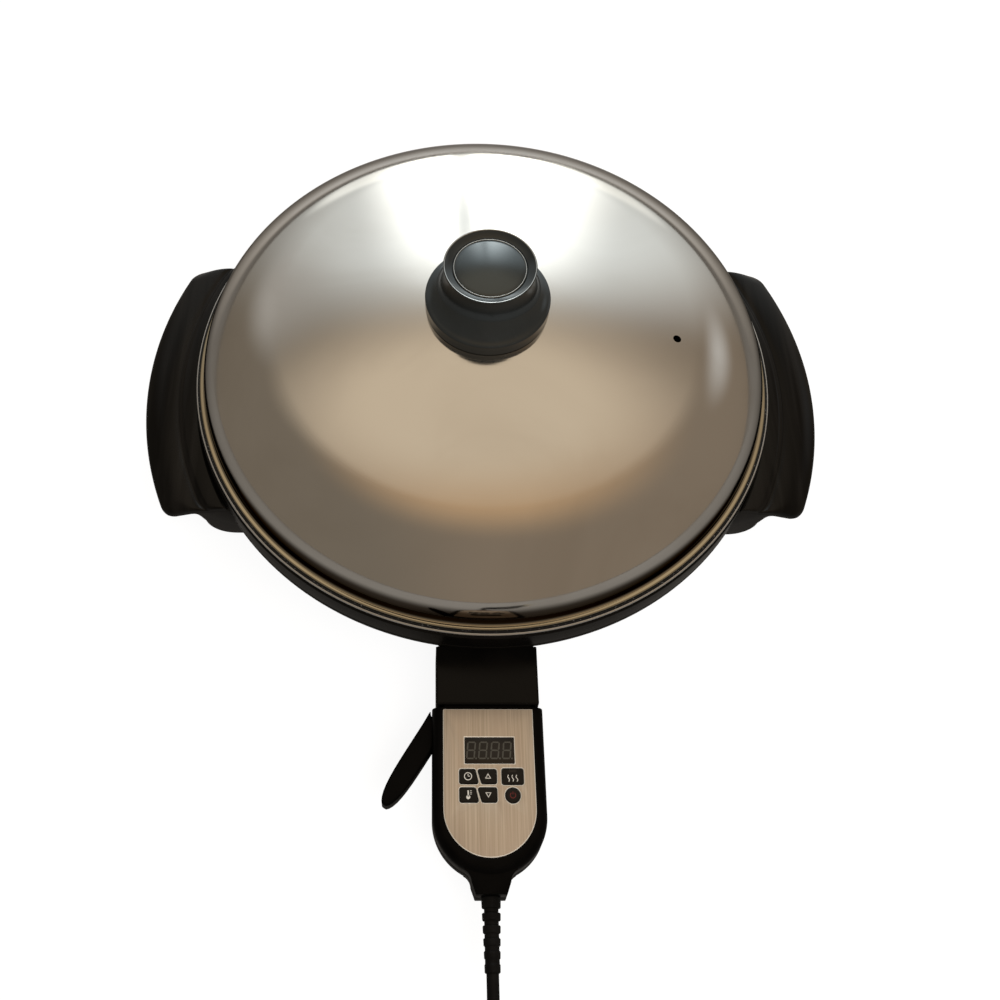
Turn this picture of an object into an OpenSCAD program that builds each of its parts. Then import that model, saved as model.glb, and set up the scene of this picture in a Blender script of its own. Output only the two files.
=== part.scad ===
// Electric injera maker: domed lid, round plate, base with two wing handles,
// plug-in digital control probe and a short mains lead. Millimetres, +Z up.
// The origin lies on the plate's axis, on the surface that the feet stand on.

/* [Plate] */
// Radius of the cooking plate
plate_r = 206; // [190:1:220]
// Height of the plate's top above the table
plate_top = 85.5; // [82:0.5:95]
// Thickness of the plate's bare edge
plate_edge = 3; // [2:0.5:5]
// Extra thickness under the cooking area
plate_boss = 4.5; // [4:0.5:6]

/* [Base] */
// Height of the band round the plate
band_h = 21; // [18:1:26]
// How far the band stands out past the plate's edge
band_lip = 1; // [0.5:0.5:2]
// Step from the band in to the lower wall
wall_step = 9.5; // [8:0.5:11]
// How far the lower wall leans in towards its foot
wall_lean = 11.5; // [8:0.5:14]
// Thickness of the base's wall
wall_t = 3; // [2.5:0.5:4]
// Width of the rim that the bottom cover screws to
rim_w = 16; // [14:1:20]

/* [Handles] */
// How far a handle reaches past the plate's edge
handle_reach = 41.6; // [38:0.2:48]
// Half the length of a handle, along the rim
handle_half = 106.5; // [90:0.5:115]
// Radius of a handle's outer edge
nose_r = 3; // [2.6:0.2:3.6]
// Depth of a handle's outer edge below the band
nose_drop = 8.1; // [7.5:0.1:9]
// Radius of the finger arch
arch_r = 8.5; // [7.5:0.1:9]
// Radius of the sweep under a handle's root
root_r = 17; // [15:1:19]

/* [Feet and cover] */
// Height of the rubber feet
foot_h = 12.8; // [10:0.2:16]
// Radius of a rubber foot
foot_r = 12; // [10:0.5:13]
// Thickness of the bottom cover
cover_t = 1.2; // [0.8:0.2:2]
// Number of vent slots in the cover
vent_n = 24; // [12:2:36]

/* [Lid] */
// Thickness of the lid's sheet
lid_t = 1; // [0.8:0.1:1.5]
// Step from the plate's edge in to the lid's wall
lid_inset = 6.6; // [5.6:0.2:9]
// Step from the plate's edge in to the lid's flange
flange_inset = 1.5; // [1:0.5:3]
// Height of the lid's straight foot
lid_foot_h = 6.6; // [6:0.2:10]
// Radius of the dome's foot
dome_foot_arc = 32; // [26:1:36]
// Radius of the dome's side
dome_side_arc = 105; // [95:1:120]
// Radius of the steam vent
vent_r = 2.8; // [2:0.2:4]
// Distance of the steam vent from the axis
vent_d = 130; // [110:1:145]

/* [Knob] */
// Radius of the knob's skirt
skirt_r = 42; // [38:1:46]
// Radius of the knob's cap
cap_r = 30.5; // [27:0.5:33]
// Height of the knob
knob_h = 40.2; // [36:0.2:45]
// Radius of the inset disc in the cap
disc_r = 24.3; // [20:0.1:26]
// Radius of the knob's screw
knob_screw_r = 2.4; // [2:0.1:3]

/* [Socket] */
// Height of the probe's middle above the table
socket_z = 29; // [27:0.5:31]
// Half width of the hood round the socket
hood_hw = 33.5; // [32:0.5:36]
// Half height of the hood
hood_hh = 17; // [16:0.5:18]
// Length of the hood
hood_len = 39; // [36:1:44]
// Wall of the hood
hood_t = 2.5; // [2:0.5:3]
// Distance of each terminal pin from the middle
pin_x = 16; // [14:0.5:18]
// Radius of a terminal pin
pin_r = 2.4; // [2:0.1:2.8]

/* [Heater] */
// Radius of the element's ring
element_ring = 130; // [110:1:140]
// Radius of the element's tube
element_r = 4; // [3.5:0.1:4.5]
// Bend radius of the element's legs
element_bend = 12; // [10:0.5:14]
// Radius of the heat shield
shield_r = 165; // [160:1:168]
// Depth of the heat shield below the plate
shield_drop = 27; // [24:1:30]

/* [Probe] */
// Half width of the probe
probe_hw = 36; // [34:0.5:40]
// Length of the probe's straight front
probe_len = 67; // [64:1:74]
// Height of the probe's upper case
upper_h = 14.5; // [14:0.5:16]
// Depth of the probe's lower case
lower_h = 15; // [14:0.5:16]
// Wall of the probe's case
case_t = 2.5; // [2:0.1:3]
// Rounding of the case's long edges
case_round = 6; // [4:0.5:7]
// Half width of the probe's neck
neck_hw = 12; // [11:0.5:14]
// Length of the sensor rod past the probe's front
rod_len = 109; // [95:1:112]
// Radius of the sensor rod
rod_r = 3; // [2.5:0.1:3.2]

/* [Keypad] */
// Half width of the metal faceplate
face_hw = 29; // [28:0.5:31]
// Thickness of the metal faceplate
face_t = 1; // [0.8:0.1:1.4]
// Width of the display window
window_w = 31.5; // [28:0.5:34]
// Height of the display window
window_h = 16.5; // [14:0.5:17]
// How far a key stands out of the faceplate
key_proud = 0.4; // [0.2:0.1:0.8]
// How far a key travels
key_travel = 0.5; // [0.3:0.1:0.6]
// Gap round each key
key_gap = 0.3; // [0.25:0.05:0.4]

/* [Lever] */
// Half height of the release lever
lever_hh = 6; // [5:0.5:7]
// Half width of the lever's blade
lever_hw = 7.2; // [6.5:0.1:7.4]
// Radius of the lever's pin
lever_pin_r = 2; // [1.5:0.1:2.5]

/* [Lead] */
// Diameter of the mains lead
cord_d = 7.5; // [7:0.1:8]
// Length of the strain relief
boot_len = 42; // [30:1:55]
// Radius of the strain relief at the probe
boot_r = 6; // [5.5:0.1:7]

/* [Hidden] */
$fn = 96;
seat_gap = 0.1;
part_gap = 0.5;
hole_gap = 0.1;

// Base levels and radii
seat_z = plate_top - plate_edge;
boss_z = seat_z - plate_boss;
band_r = plate_r + band_lip;
band_z = seat_z - band_h;
wall_top_r = band_r - wall_step;
wall_foot_r = wall_top_r - wall_lean;
inner_r = wall_top_r - wall_t;
base_z = foot_h + cover_t;
rim_r = wall_foot_r - rim_w / 2;
handle_r = plate_r + handle_reach;
plate_clear = 1;
lug_w = 16;
lug_h = 7;
lug_len = 20;
lug_angles = [45, 135, 225, 315];
foot_angles = [38, 142, 218, 322];
cover_screw_angles = [0, 70, 110, 180, 250, 290];

// Fasteners
m4_r = 2;
m4_head_r = 3.8;
m4_head_h = 3;
m3_r = 1.5;
m3_head_r = 2.8;
m3_head_h = 2.2;
foot_recess = 5;
bolt_r = lug_len / 2 + inner_r - lug_len;
bolt_bite = 3.2;
handle_screw_r = wall_top_r + 4.5;
handle_screw_angle = 19;
handle_screw_seat = 12;

// Dome: three arcs that run on into each other, from the foot to the crown
lid_z = plate_top + seat_gap;
flange_r = plate_r - flange_inset;
dome_r = plate_r - lid_inset;
dome_z = lid_z + lid_foot_h;
foot_turn = 45;
side_turn = 75.3;
foot_c = [dome_r - dome_foot_arc, dome_z];
side_c = foot_c - (dome_side_arc - dome_foot_arc) * [cos(foot_turn), sin(foot_turn)];
crown_arc = side_c[0] / cos(side_turn) + dome_side_arc;
crown_c = [0, side_c[1] + (dome_side_arc - crown_arc) * sin(side_turn)];
apex = crown_c[1] + crown_arc;
vent_turn = -8;
knob_top = apex + knob_h;
knob_wall = 3;
knob_foot_r = skirt_r - 2.5;
knob_foot_z = crown_c[1] + sqrt(crown_arc * crown_arc - pow(knob_foot_r - knob_wall, 2)) + seat_gap;
boss_r = 9;
skirt_z = apex + 5.5;
skirt_t = 2.2;
waist_r = cap_r - 4.5;
waist_z = knob_top - 5.8;
bell_x = skirt_r + 3.9;
bell_r = bell_x - waist_r;
bell_turn = acos((bell_x - skirt_r) / bell_r);
bell_h = (waist_z - skirt_z - skirt_t) / sin(bell_turn);
bell_steps = 14;
insert_r = 4.2;
insert_len = 14;
washer_r = 9;
washer_t = 1.2;
washer_top = crown_c[1] + sqrt(pow(crown_arc - lid_t, 2) - washer_r * washer_r) - seat_gap;
knob_grip = 12;
cap_dish = 2.8;
disc_recess = 1.2;
disc_proud = 0.3;
disc_z = knob_top - cap_dish - disc_recess;

// Socket: a flat pad on the base carries the hood and the terminals
pad_front = wall_top_r + 1.5;
pad_back = pad_front - 17;
pad_hw = hood_hw - 2;
block_hw = 21.8;
block_hh = 8.8;
block_flange = 4;
block_out = 4;
hood_screw_x = 27;
pin_tip = pad_front + 29;
well_r = 5.5;
well_bore = rod_r + 0.4;
well_end = 8;

// Heater: each leg turns down from the ring and out towards the socket
element_z = boss_z - element_r - 0.2;
leg_span = sqrt(element_ring * element_ring + element_bend * element_bend);
leg_turn = atan2(element_bend, element_ring) + asin(pin_x / leg_span);
leg_y = -(element_ring * cos(leg_turn) + element_bend * sin(leg_turn));
leg_out = 8;
clamp_angles = [15, 75, 135, 195];
clamp_w = 14;
post_angles = [30, 90, 150, 210, 330];
post_r = 4;
post_ring = shield_r - 10;
shield_t = 1;
shield_z = boss_z - shield_drop;

// Probe frame: y runs back from the front face, z from the split of the case
seam = 1;
probe_y = -(pad_front + hood_len + seam);
nose_hw = hood_hw - hood_t - 2.5;
nose_hh = hood_hh - hood_t - 2.5;
nose_len = 32;
sleeve_r = 4.2;
sleeve_bore = pin_r + 0.3;
sleeve_back = 11;
rear_y = -probe_len;
fillet_r = 8;
fillet_x = neck_hw + fillet_r;
fillet_y = rear_y - sqrt(pow(probe_hw + fillet_r, 2) - fillet_x * fillet_x);
neck_end = fillet_y - 7;
neck_tip_hw = 9.5;
neck_hh = 12;
roof_t = 2.6;
face_sink = 0.6;
face_z = upper_h - face_sink;
face_top = face_z + face_t;
face_front = -1.4;
face_rear = rear_y + 3.1;
face_gap = 0.15;
window_x = 0.5;
window_y = -28;
window_t = 0.8;
window_ledge = 1.5;
board_z = 4;
board_t = 1.6;
board_x = [-21, 24];
board_y = [-78, -11];
board_holes = [[-17, -16], [20, -16], [-17, -73], [20, -73]];
switch_t = 2.4;
plunger_r = 1.75;
key_low = upper_h - roof_t - 2.5;
plunger_top = key_low - key_travel - 0.1;
case_screws = [[29.2, -11], [29.2, -63], [-29.2, -63]];
case_boss_r = 4;

// Keys: left and right edges at the top and bottom of each one
key_row_1 = -44.4;
key_row_2 = -55.7;
key_h = 8.9;
warm_extra = 0.45;
key_corner = 1.2;
key_left = [-18.7, -9, -6.8];
key_mid = [-7.5, -4.7, 4.5];
key_right = [8, 21.4];
power_c = [14.5, -56];
power_r = 4.6;

// Release lever: a curved arm on a pin near the probe's front corner
lever_pivot = [-29, -8.5];
lever_eye = 5;
lever_root = [-35.9, -11.8];
lever_tip = [-66.5, -59.9];
lever_heel = [lever_pivot, [-33.9, -4.4], [-36.8, -3.4], [-36.8, 1]];
lever_fit = 0.06;
lever_slot = [-54, -2.5];
lever_gap = 0.6;
lever_boss_r = lever_pin_r + 1;
spring_t = 1;
spring_gap = 0.05;
spring_lift = 2.2;

// Strain relief and mains lead
boot_y = probe_y + neck_end;
boot_tip = boot_y - boot_len;
boot_tip_r = cord_d / 2 + 0.9;
boot_neck_r = 4.6;
boot_flange_r = 8;
boot_grooves = 5;
cord_route = [[0, -394.2, 29], [0, -404, 29], [0, -414, 28], [0, -425, 25.5], [0, -436, 21.5],
    [0, -447, 16.5], [0, -458, 11.5], [0, -469, 8], [0, -480, 6], [0, -492, 5.2], [0, -504, 5.2],
    [0, -512, 5.2]];
cord_sides = 10;
coil_sides = 6;
coil_steps = 24;
coil_turns = 3.25;
coil_r = 45;
coil_pitch = 8.3;
coil_layer = 8.1;
coil_start = cord_route[len(cord_route) - 1];
coil_c = [coil_r, coil_start[1] - cord_d, coil_start[2]];
coil_tail = 30;
tie_angle = 235;
tie_w = 9;
tie_t = 1;
plug_hw = 13;
plug_hh = 11;
plug_len = 34;
plug_neck = 16;
blade_len = 16;

// Points of an arc
function arc_points(c, r, a0, a1, n) =
    [for (i = [0:n]) let (a = a0 + (a1 - a0) * i / n) c + r * [cos(a), sin(a)]];

// Radius of the lower wall at a height
function wall_r(z) = wall_foot_r + wall_lean * (z - base_z) / (band_z - base_z);

// Meridian of the dome, drawn in by the depth d
function dome_points(d) = concat(
    arc_points(foot_c, dome_foot_arc - d, 0, foot_turn, 8),
    arc_points(side_c, dome_side_arc - d, foot_turn + 4, side_turn, 8),
    arc_points(crown_c, crown_arc - d, side_turn + 1.5, 90, 8));

// Points in reverse order
function flip(points) = [for (i = [len(points) - 1:-1:0]) points[i]];

// Smooth route through hand-placed points
function blend(p0, p1, p2, p3, t) = 0.5 * (2 * p1 + (p2 - p0) * t
    + (2 * p0 - 5 * p1 + 4 * p2 - p3) * t * t + (3 * p1 - p0 - 3 * p2 + p3) * t * t * t);
function route_points(p, n) = concat([for (i = [0:len(p) - 2], k = [0:n - 1])
    blend(p[max(i - 1, 0)], p[i], p[i + 1], p[min(i + 2, len(p) - 1)], k / n)], [p[len(p) - 1]]);

function unit(v) = v / norm(v);

// Outline with each corner turned to an arc of radius r
function rounded(p, r) = [for (i = [0:len(p) - 1])
    let (back = unit(p[(i + len(p) - 1) % len(p)] - p[i]), on = unit(p[(i + 1) % len(p)] - p[i]),
        half = acos(back * on) / 2, c = p[i] + unit(back + on) * r / sin(half), t = r / tan(half))
    for (f = [0:0.2:1]) c + r * unit((p[i] + back * t - c) * (1 - f) + (p[i] + on * t - c) * f)];

// Tube round a list of points, with its two ends square to the given directions
function heading(p, i, first, last) = i == 0 ? first : i == len(p) - 1 ? last : unit(p[i + 1] - p[i - 1]);
function side_of(h) = unit(cross(h, [0, 0, 1]));
function tube_points(p, r, sides, first, last) = [for (i = [0:len(p) - 1], k = [0:sides - 1])
    let (h = heading(p, i, first, last), s = side_of(h), u = cross(s, h), a = 360 * (k + 0.5) / sides)
    p[i] + r * (cos(a) * s + sin(a) * u)];
function tube_faces(n, sides) = concat(
    [[for (k = [0:sides - 1]) k]],
    [for (i = [0:n - 2], k = [0:sides - 1])
        let (a = i * sides + k, b = i * sides + (k + 1) % sides) [a, a + sides, b]],
    [for (i = [0:n - 2], k = [0:sides - 1])
        let (a = i * sides + k, b = i * sides + (k + 1) % sides) [b, a + sides, b + sides]],
    [[for (k = [sides - 1:-1:0]) (n - 1) * sides + k]]);
module tube(p, r, sides, first, last) {
    polyhedron(tube_points(p, r, sides, first, last), tube_faces(len(p), sides), convexity = 12);
}

// Coil of the lead: spirals in on the lower layer, climbs, and spirals out on the upper one
function coil_in(t) = min(t, coil_turns - t);
function coil_rise(t) = let (u = (t - coil_turns / 2 + 0.25) / 0.5, c = max(0, min(1, u)))
    coil_layer * c * c * (3 - 2 * c);
function coil_point(t) = let (r = coil_r - coil_pitch * coil_in(t), a = 180 + 360 * t)
    coil_c + [r * cos(a), r * sin(a), coil_rise(t)];
coil_end = coil_point(coil_turns);
coil_exit = unit([for (k = [0, 1, 2]) k == 2 ? 0 : coil_end[k] - coil_point(coil_turns - 0.01)[k]]);
coil_path = concat([coil_start],
    [for (i = [0:coil_turns * coil_steps]) coil_point(i / coil_steps)],
    [coil_end + coil_exit * coil_tail / 2, coil_end + coil_exit * coil_tail]);
plug_back = coil_end + coil_exit * coil_tail;
plug_turn = atan2(coil_exit[1], coil_exit[0]);

// Least gap of the coil to itself, measured between points more than half a turn apart
coil_probe = [for (i = [0:coil_turns * 48]) coil_point(i / 48)];
coil_gap = min([for (i = [0:len(coil_probe) - 1], k = [i + 24:1:len(coil_probe) - 1])
    norm(coil_probe[i] - coil_probe[k])]) - cord_d;
echo(coil_gap = coil_gap);

// Round bar along y, from y0 back to y1, with y0 the greater
module bar_y(x, y0, y1, z, r) {
    translate([x, y0, z]) rotate([90, 0, 0]) cylinder(r = r, h = y0 - y1);
}

// Screw with its head below the seat at z = 0
module screw_up(r, head_r, head_h, length) {
    translate([0, 0, -head_h]) cylinder(r = head_r, h = head_h);
    cylinder(r = r, h = length);
}

// Things set out on a circle
module around(angles, r) {
    for (a = angles) rotate([0, 0, a]) translate([r, 0, 0]) children();
}

// Moves into the probe's own frame
module in_probe() {
    translate([0, probe_y, socket_z]) children();
}

module base_shell() {
    color([0.09, 0.085, 0.08]) difference() {
        union() {
            rotate_extrude() polygon([[band_r - 0.8, seat_z], [band_r, seat_z - 1.5], [band_r, band_z + 2],
                [band_r - 1.5, band_z], [wall_top_r, band_z], [wall_foot_r, base_z],
                [wall_foot_r - rim_w, base_z], [wall_foot_r - rim_w, base_z + wall_t],
                [wall_r(base_z + wall_t) - wall_t, base_z + wall_t], [inner_r, band_z], [inner_r, seat_z]]);
            translate([-pad_hw, -pad_front, base_z])
                cube([2 * pad_hw, pad_front - pad_back, socket_z + hood_hh - 1 - base_z]);
            around(lug_angles, inner_r - lug_len)
                translate([0, -lug_w / 2, boss_z - lug_h]) cube([lug_len + 1, lug_w, lug_h]);
        }
        translate([-block_hw - 0.2, -pad_front - 1, socket_z - block_hh - 0.2])
            cube([2 * block_hw + 0.4, pad_front - pad_back + 2, 2 * block_hh + 0.4]);
        for (s = [-1, 1]) bar_y(s * hood_screw_x, -pad_front + 9, -pad_front - 1, socket_z, m3_r + hole_gap);
        around(lug_angles, bolt_r) translate([0, 0, boss_z - lug_h - 1]) cylinder(r = m4_r + hole_gap, h = lug_h + 2);
        around(foot_angles, rim_r) translate([0, 0, base_z - 1]) cylinder(r = m4_r + hole_gap, h = wall_t + 2);
        around(cover_screw_angles, rim_r) translate([0, 0, base_z - 1]) cylinder(r = m3_r + hole_gap, h = wall_t + 2);
        handle_screw_places() cylinder(r = m4_r + hole_gap, h = handle_screw_seat + 1);
    }
}

// The four handle screws, at the underside of the band
module handle_screw_places() {
    for (side = [0, 180], a = [-handle_screw_angle, handle_screw_angle])
        rotate([0, 0, side + a]) translate([handle_screw_r, 0, band_z]) children();
}

module bottom_cover() {
    slot_r = wall_foot_r / 2;
    color([0.55, 0.55, 0.56]) difference() {
        translate([0, 0, foot_h]) cylinder(r = wall_foot_r - 2, h = cover_t);
        for (i = [0:vent_n - 1]) rotate([0, 0, 360 * i / vent_n])
            translate([slot_r, -2, foot_h - 1]) cube([28, 4, cover_t + 2]);
        around(foot_angles, rim_r) translate([0, 0, foot_h - 1]) cylinder(r = m4_r + hole_gap, h = cover_t + 2);
        around(cover_screw_angles, rim_r) translate([0, 0, foot_h - 1]) cylinder(r = m3_r + hole_gap, h = cover_t + 2);
    }
}

module cover_screws() {
    color("silver") around(cover_screw_angles, rim_r)
        translate([0, 0, foot_h]) screw_up(m3_r, m3_head_r, m3_head_h, cover_t + wall_t + 1);
}

module rubber_feet() {
    color([0.07, 0.07, 0.07]) around(foot_angles, rim_r) difference() {
        cylinder(r1 = foot_r - 1.5, r2 = foot_r, h = foot_h);
        translate([0, 0, -1]) cylinder(r = m4_head_r + 0.6, h = foot_recess + 1);
        cylinder(r = m4_r + hole_gap, h = foot_h + 1);
    }
}

module foot_screws() {
    color("silver") around(foot_angles, rim_r)
        translate([0, 0, foot_recess]) screw_up(m4_r, m4_head_r, m4_head_h, foot_h - foot_recess + cover_t + wall_t + 1);
}

// Section of a handle: flat top with a finger groove, round nose, arch and swept root
function handle_section() =
    let (nose_c = [handle_r - nose_r, band_z - nose_drop],
         arch_c = [nose_c[0] - 11.6, nose_c[1] - 7.1],
         sweep_c = [arch_c[0] - arch_r - root_r - 2.2, arch_c[1] - 4.5],
         root_z = sweep_c[1] - root_r,
         top_r = band_r + part_gap)
    concat([[wall_top_r + part_gap, band_z], [top_r, band_z], [top_r, band_z + 3]],
        [[top_r + 6, band_z + 2.2], [top_r + 13, band_z + 1], [top_r + 15.5, band_z - 0.8], [top_r + 18, band_z - 0.2],
            [nose_c[0] - 6, nose_c[1] + nose_r + 2.9]],
        arc_points(nose_c, nose_r, 62, -115, 10),
        arc_points(arch_c, arch_r, 75, 165, 8),
        arc_points(sweep_c, root_r, 0, -90, 8),
        [[wall_r(root_z) + part_gap, root_z]]);

module right_wing() {
    end_r = sqrt(handle_r * handle_r - handle_half * handle_half);
    cut = 5;
    difference() {
        intersection() {
            rotate([0, 0, -40]) rotate_extrude(angle = 80) polygon(handle_section());
            linear_extrude(plate_top) polygon([[0, -handle_half], [end_r - cut, -handle_half],
                [end_r + 0.45 * cut, cut - handle_half], [handle_r + cut, cut - handle_half],
                [handle_r + cut, handle_half - cut], [end_r + 0.45 * cut, handle_half - cut],
                [end_r - cut, handle_half], [0, handle_half]]);
        }
        for (a = [-handle_screw_angle, handle_screw_angle]) rotate([0, 0, a]) translate([handle_screw_r, 0, 0]) {
            cylinder(r = m4_r + hole_gap, h = plate_top);
            cylinder(r = m4_head_r + 0.6, h = band_z - handle_screw_seat);
        }
    }
}

module left_handle() {
    color([0.1, 0.095, 0.09]) mirror([1, 0, 0]) right_wing();
}

module right_handle() {
    color([0.1, 0.095, 0.09]) right_wing();
}

module handle_screws() {
    color("silver") handle_screw_places()
        translate([0, 0, -handle_screw_seat]) screw_up(m4_r, m4_head_r, m4_head_h, 2 * handle_screw_seat);
}

module cooking_plate() {
    color([0.16, 0.16, 0.16]) difference() {
        union() {
            translate([0, 0, seat_z]) cylinder(r = plate_r, h = plate_edge);
            translate([0, 0, boss_z]) cylinder(r = inner_r - plate_clear, h = plate_boss);
        }
        around(lug_angles, bolt_r) translate([0, 0, boss_z - 1]) cylinder(r = m4_r + hole_gap, h = bolt_bite + 1.2);
    }
}

module plate_bolts() {
    color("silver") around(lug_angles, bolt_r)
        translate([0, 0, boss_z - lug_h]) screw_up(m4_r, m4_head_r, m4_head_h, lug_h + bolt_bite);
}

module heating_element() {
    color([0.35, 0.33, 0.31]) {
        translate([0, 0, element_z]) rotate([0, 0, leg_turn - 90])
            rotate_extrude(angle = 360 - 2 * leg_turn) translate([element_ring, 0]) circle(r = element_r);
        for (side = [0, 1]) mirror([side, 0, 0]) element_leg();
    }
}

module element_leg() {
    drop = element_z - socket_z - 2 * element_bend;
    translate([0, 0, element_z]) rotate([0, 0, leg_turn - 90]) translate([element_ring, 0, -element_bend])
        rotate([0, -90, 180]) rotate_extrude(angle = 90) translate([element_bend, 0]) circle(r = element_r);
    translate([pin_x, leg_y, socket_z + element_bend]) cylinder(r = element_r, h = drop);
    translate([pin_x, leg_y - element_bend, socket_z + element_bend])
        rotate([-90, 0, 90]) rotate_extrude(angle = 90) translate([element_bend, 0]) circle(r = element_r);
    bar_y(pin_x, leg_y - element_bend, leg_y - element_bend - leg_out, socket_z, element_r);
}

module element_clamps() {
    color("silver") difference() {
        around(clamp_angles, element_ring) translate([-clamp_w, -clamp_w / 2, element_z - element_r - 2])
            cube([2 * clamp_w, clamp_w, boss_z - element_z + element_r + 2]);
        translate([0, 0, element_z]) rotate_extrude() translate([element_ring, 0]) circle(r = element_r + 0.2);
    }
}

module heat_shield() {
    notch = 45;
    color([0.75, 0.75, 0.76]) difference() {
        translate([0, 0, shield_z - shield_t]) cylinder(r = shield_r, h = shield_t);
        translate([-notch, -shield_r - 1, shield_z - shield_t - 1]) cube([2 * notch, shield_r - 2 * notch, shield_t + 2]);
    }
}

module shield_posts() {
    color("silver") around(post_angles, post_ring) translate([0, 0, shield_z]) cylinder(r = post_r, h = shield_drop);
}

module terminal_block() {
    color([0.9, 0.88, 0.82]) difference() {
        union() {
            translate([-block_hw, -pad_front - block_out, socket_z - block_hh])
                cube([2 * block_hw, pad_front - pad_back + block_out, 2 * block_hh]);
            translate([-block_hw - 4, -pad_back, socket_z - block_hh - 3])
                cube([2 * block_hw + 8, block_flange, 2 * block_hh + 6]);
        }
        for (s = [-1, 1]) bar_y(s * pin_x, -pad_back + block_flange + 1, -pad_front - block_out - 1, socket_z, pin_r + hole_gap);
        bar_y(0, -pad_back + block_flange + 1, -pad_front - block_out - 1, socket_z, well_r + hole_gap);
    }
}

module terminal_pins() {
    color("silver") for (s = [-1, 1]) bar_y(s * pin_x, leg_y - element_bend - leg_out, -pin_tip, socket_z, pin_r);
}

module sensor_well() {
    back = probe_y + rod_len + well_end;
    color([0.7, 0.7, 0.7]) difference() {
        union() {
            bar_y(0, back, -pad_front - block_out, socket_z, well_r);
            translate([-well_r, back - 2 * well_r, socket_z]) cube([2 * well_r, 2 * well_r, boss_z - socket_z]);
        }
        bar_y(0, back - well_end / 2, -pad_front - block_out - 1, socket_z, well_bore);
    }
}

module socket_hood() {
    color([0.085, 0.08, 0.075]) difference() {
        translate([-hood_hw, -pad_front - hood_len, socket_z - hood_hh]) cube([2 * hood_hw, hood_len, 2 * hood_hh]);
        translate([-hood_hw + hood_t, -pad_front - hood_len - 1, socket_z - hood_hh + hood_t])
            cube([2 * (hood_hw - hood_t), hood_len + 1 - hood_t, 2 * (hood_hh - hood_t)]);
        translate([-block_hw - part_gap, -pad_front - hood_t - 1, socket_z - block_hh - part_gap])
            cube([2 * (block_hw + part_gap), hood_t + 2, 2 * (block_hh + part_gap)]);
        for (s = [-1, 1]) bar_y(s * hood_screw_x, -pad_front + 1, -pad_front - hood_t - 1, socket_z, m3_r + hole_gap);
    }
}

module hood_screws() {
    color("silver") for (s = [-1, 1]) translate([s * hood_screw_x, -pad_front - hood_t, socket_z])
        rotate([-90, 0, 0]) screw_up(m3_r, m3_head_r, m3_head_h, hood_t + 8);
}

module lid_dome() {
    color([0.8, 0.78, 0.74]) difference() {
        rotate_extrude() polygon(concat(
            [[dome_r + 0.3, lid_z], [flange_r - 0.4, lid_z], [flange_r, lid_z + 0.8], [flange_r - 0.6, lid_z + 1.6],
                [dome_r + 1.4, lid_z + 2], [dome_r + 0.2, lid_z + 3.4]],
            dome_points(0), flip(dome_points(lid_t)), [[dome_r - lid_t + 0.2, lid_z + 2]]));
        rotate([0, 0, vent_turn]) translate([vent_d, 0, plate_top]) cylinder(r = vent_r, h = apex);
        translate([0, 0, apex - 5]) cylinder(r = knob_screw_r + 0.4, h = 10);
    }
}

// Knob: a hollow foot on the crown, a thin skirt above it, a bell and a dished cap with a lip
module knob_body() {
    color([0.14, 0.15, 0.145]) rotate_extrude() polygon(concat(
        [[insert_r + 0.05, apex + 0.05], [boss_r, apex + 0.05], [boss_r, apex + 3],
            [knob_foot_r - 2 * knob_wall, apex + 3], [knob_foot_r - knob_wall, knob_foot_z], [knob_foot_r, knob_foot_z],
            [knob_foot_r, skirt_z + 0.4], [skirt_r - 0.8, skirt_z], [skirt_r, skirt_z + 0.8]],
        [for (i = [bell_steps:-1:0]) let (a = bell_turn * i / bell_steps)
            [bell_x - bell_r * cos(a), waist_z - bell_h * sin(a)]],
        [[cap_r - 2.2, knob_top - 4], [cap_r, knob_top - 1.2], [cap_r, knob_top - 0.6],
            [cap_r - 0.8, knob_top], [disc_r + 0.3, knob_top - cap_dish], [disc_r + 0.3, disc_z],
            [0, disc_z], [0, apex + insert_len + 2], [insert_r + 0.05, apex + insert_len + 2]]));
}

module knob_disc() {
    color([0.2, 0.21, 0.205]) translate([0, 0, disc_z]) {
        cylinder(r = disc_r - 0.8, h = disc_recess + disc_proud);
        cylinder(r = disc_r, h = disc_recess - 0.2);
    }
}

module knob_insert() {
    color("goldenrod") translate([0, 0, apex + 0.3]) difference() {
        cylinder(r = insert_r, h = insert_len);
        translate([0, 0, -1]) cylinder(r = knob_screw_r + hole_gap, h = insert_len + 2);
    }
}

module knob_screw() {
    color("silver") translate([0, 0, washer_top - washer_t])
        screw_up(knob_screw_r, 4.5, 3, apex - washer_top + washer_t + knob_grip);
}

module knob_washer() {
    color("silver") translate([0, 0, washer_top - washer_t]) difference() {
        cylinder(r = washer_r, h = washer_t);
        translate([0, 0, -1]) cylinder(r = knob_screw_r + hole_gap, h = washer_t + 2);
    }
}

// Half section of a case half, of height h, with a rounded long edge
function case_section(hw, h, rnd) = concat([[0, 0], [hw, 0]], arc_points([hw - rnd, h - rnd], rnd, 0, 90, 6), [[0, h]]);
function both_sides(points) = concat(points, [for (i = [len(points) - 1:-1:0]) [-points[i][0], points[i][1]]]);

// Straight front and half-round rear of a case half
module case_form(hw, h, rnd, front) {
    translate([0, front, 0]) rotate([90, 0, 0])
        linear_extrude(front - rear_y) polygon(both_sides(case_section(hw, h, rnd)));
    translate([0, rear_y, 0]) rotate([0, 0, 180])
        rotate_extrude(angle = 180) polygon(case_section(hw, h, rnd));
}

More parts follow.
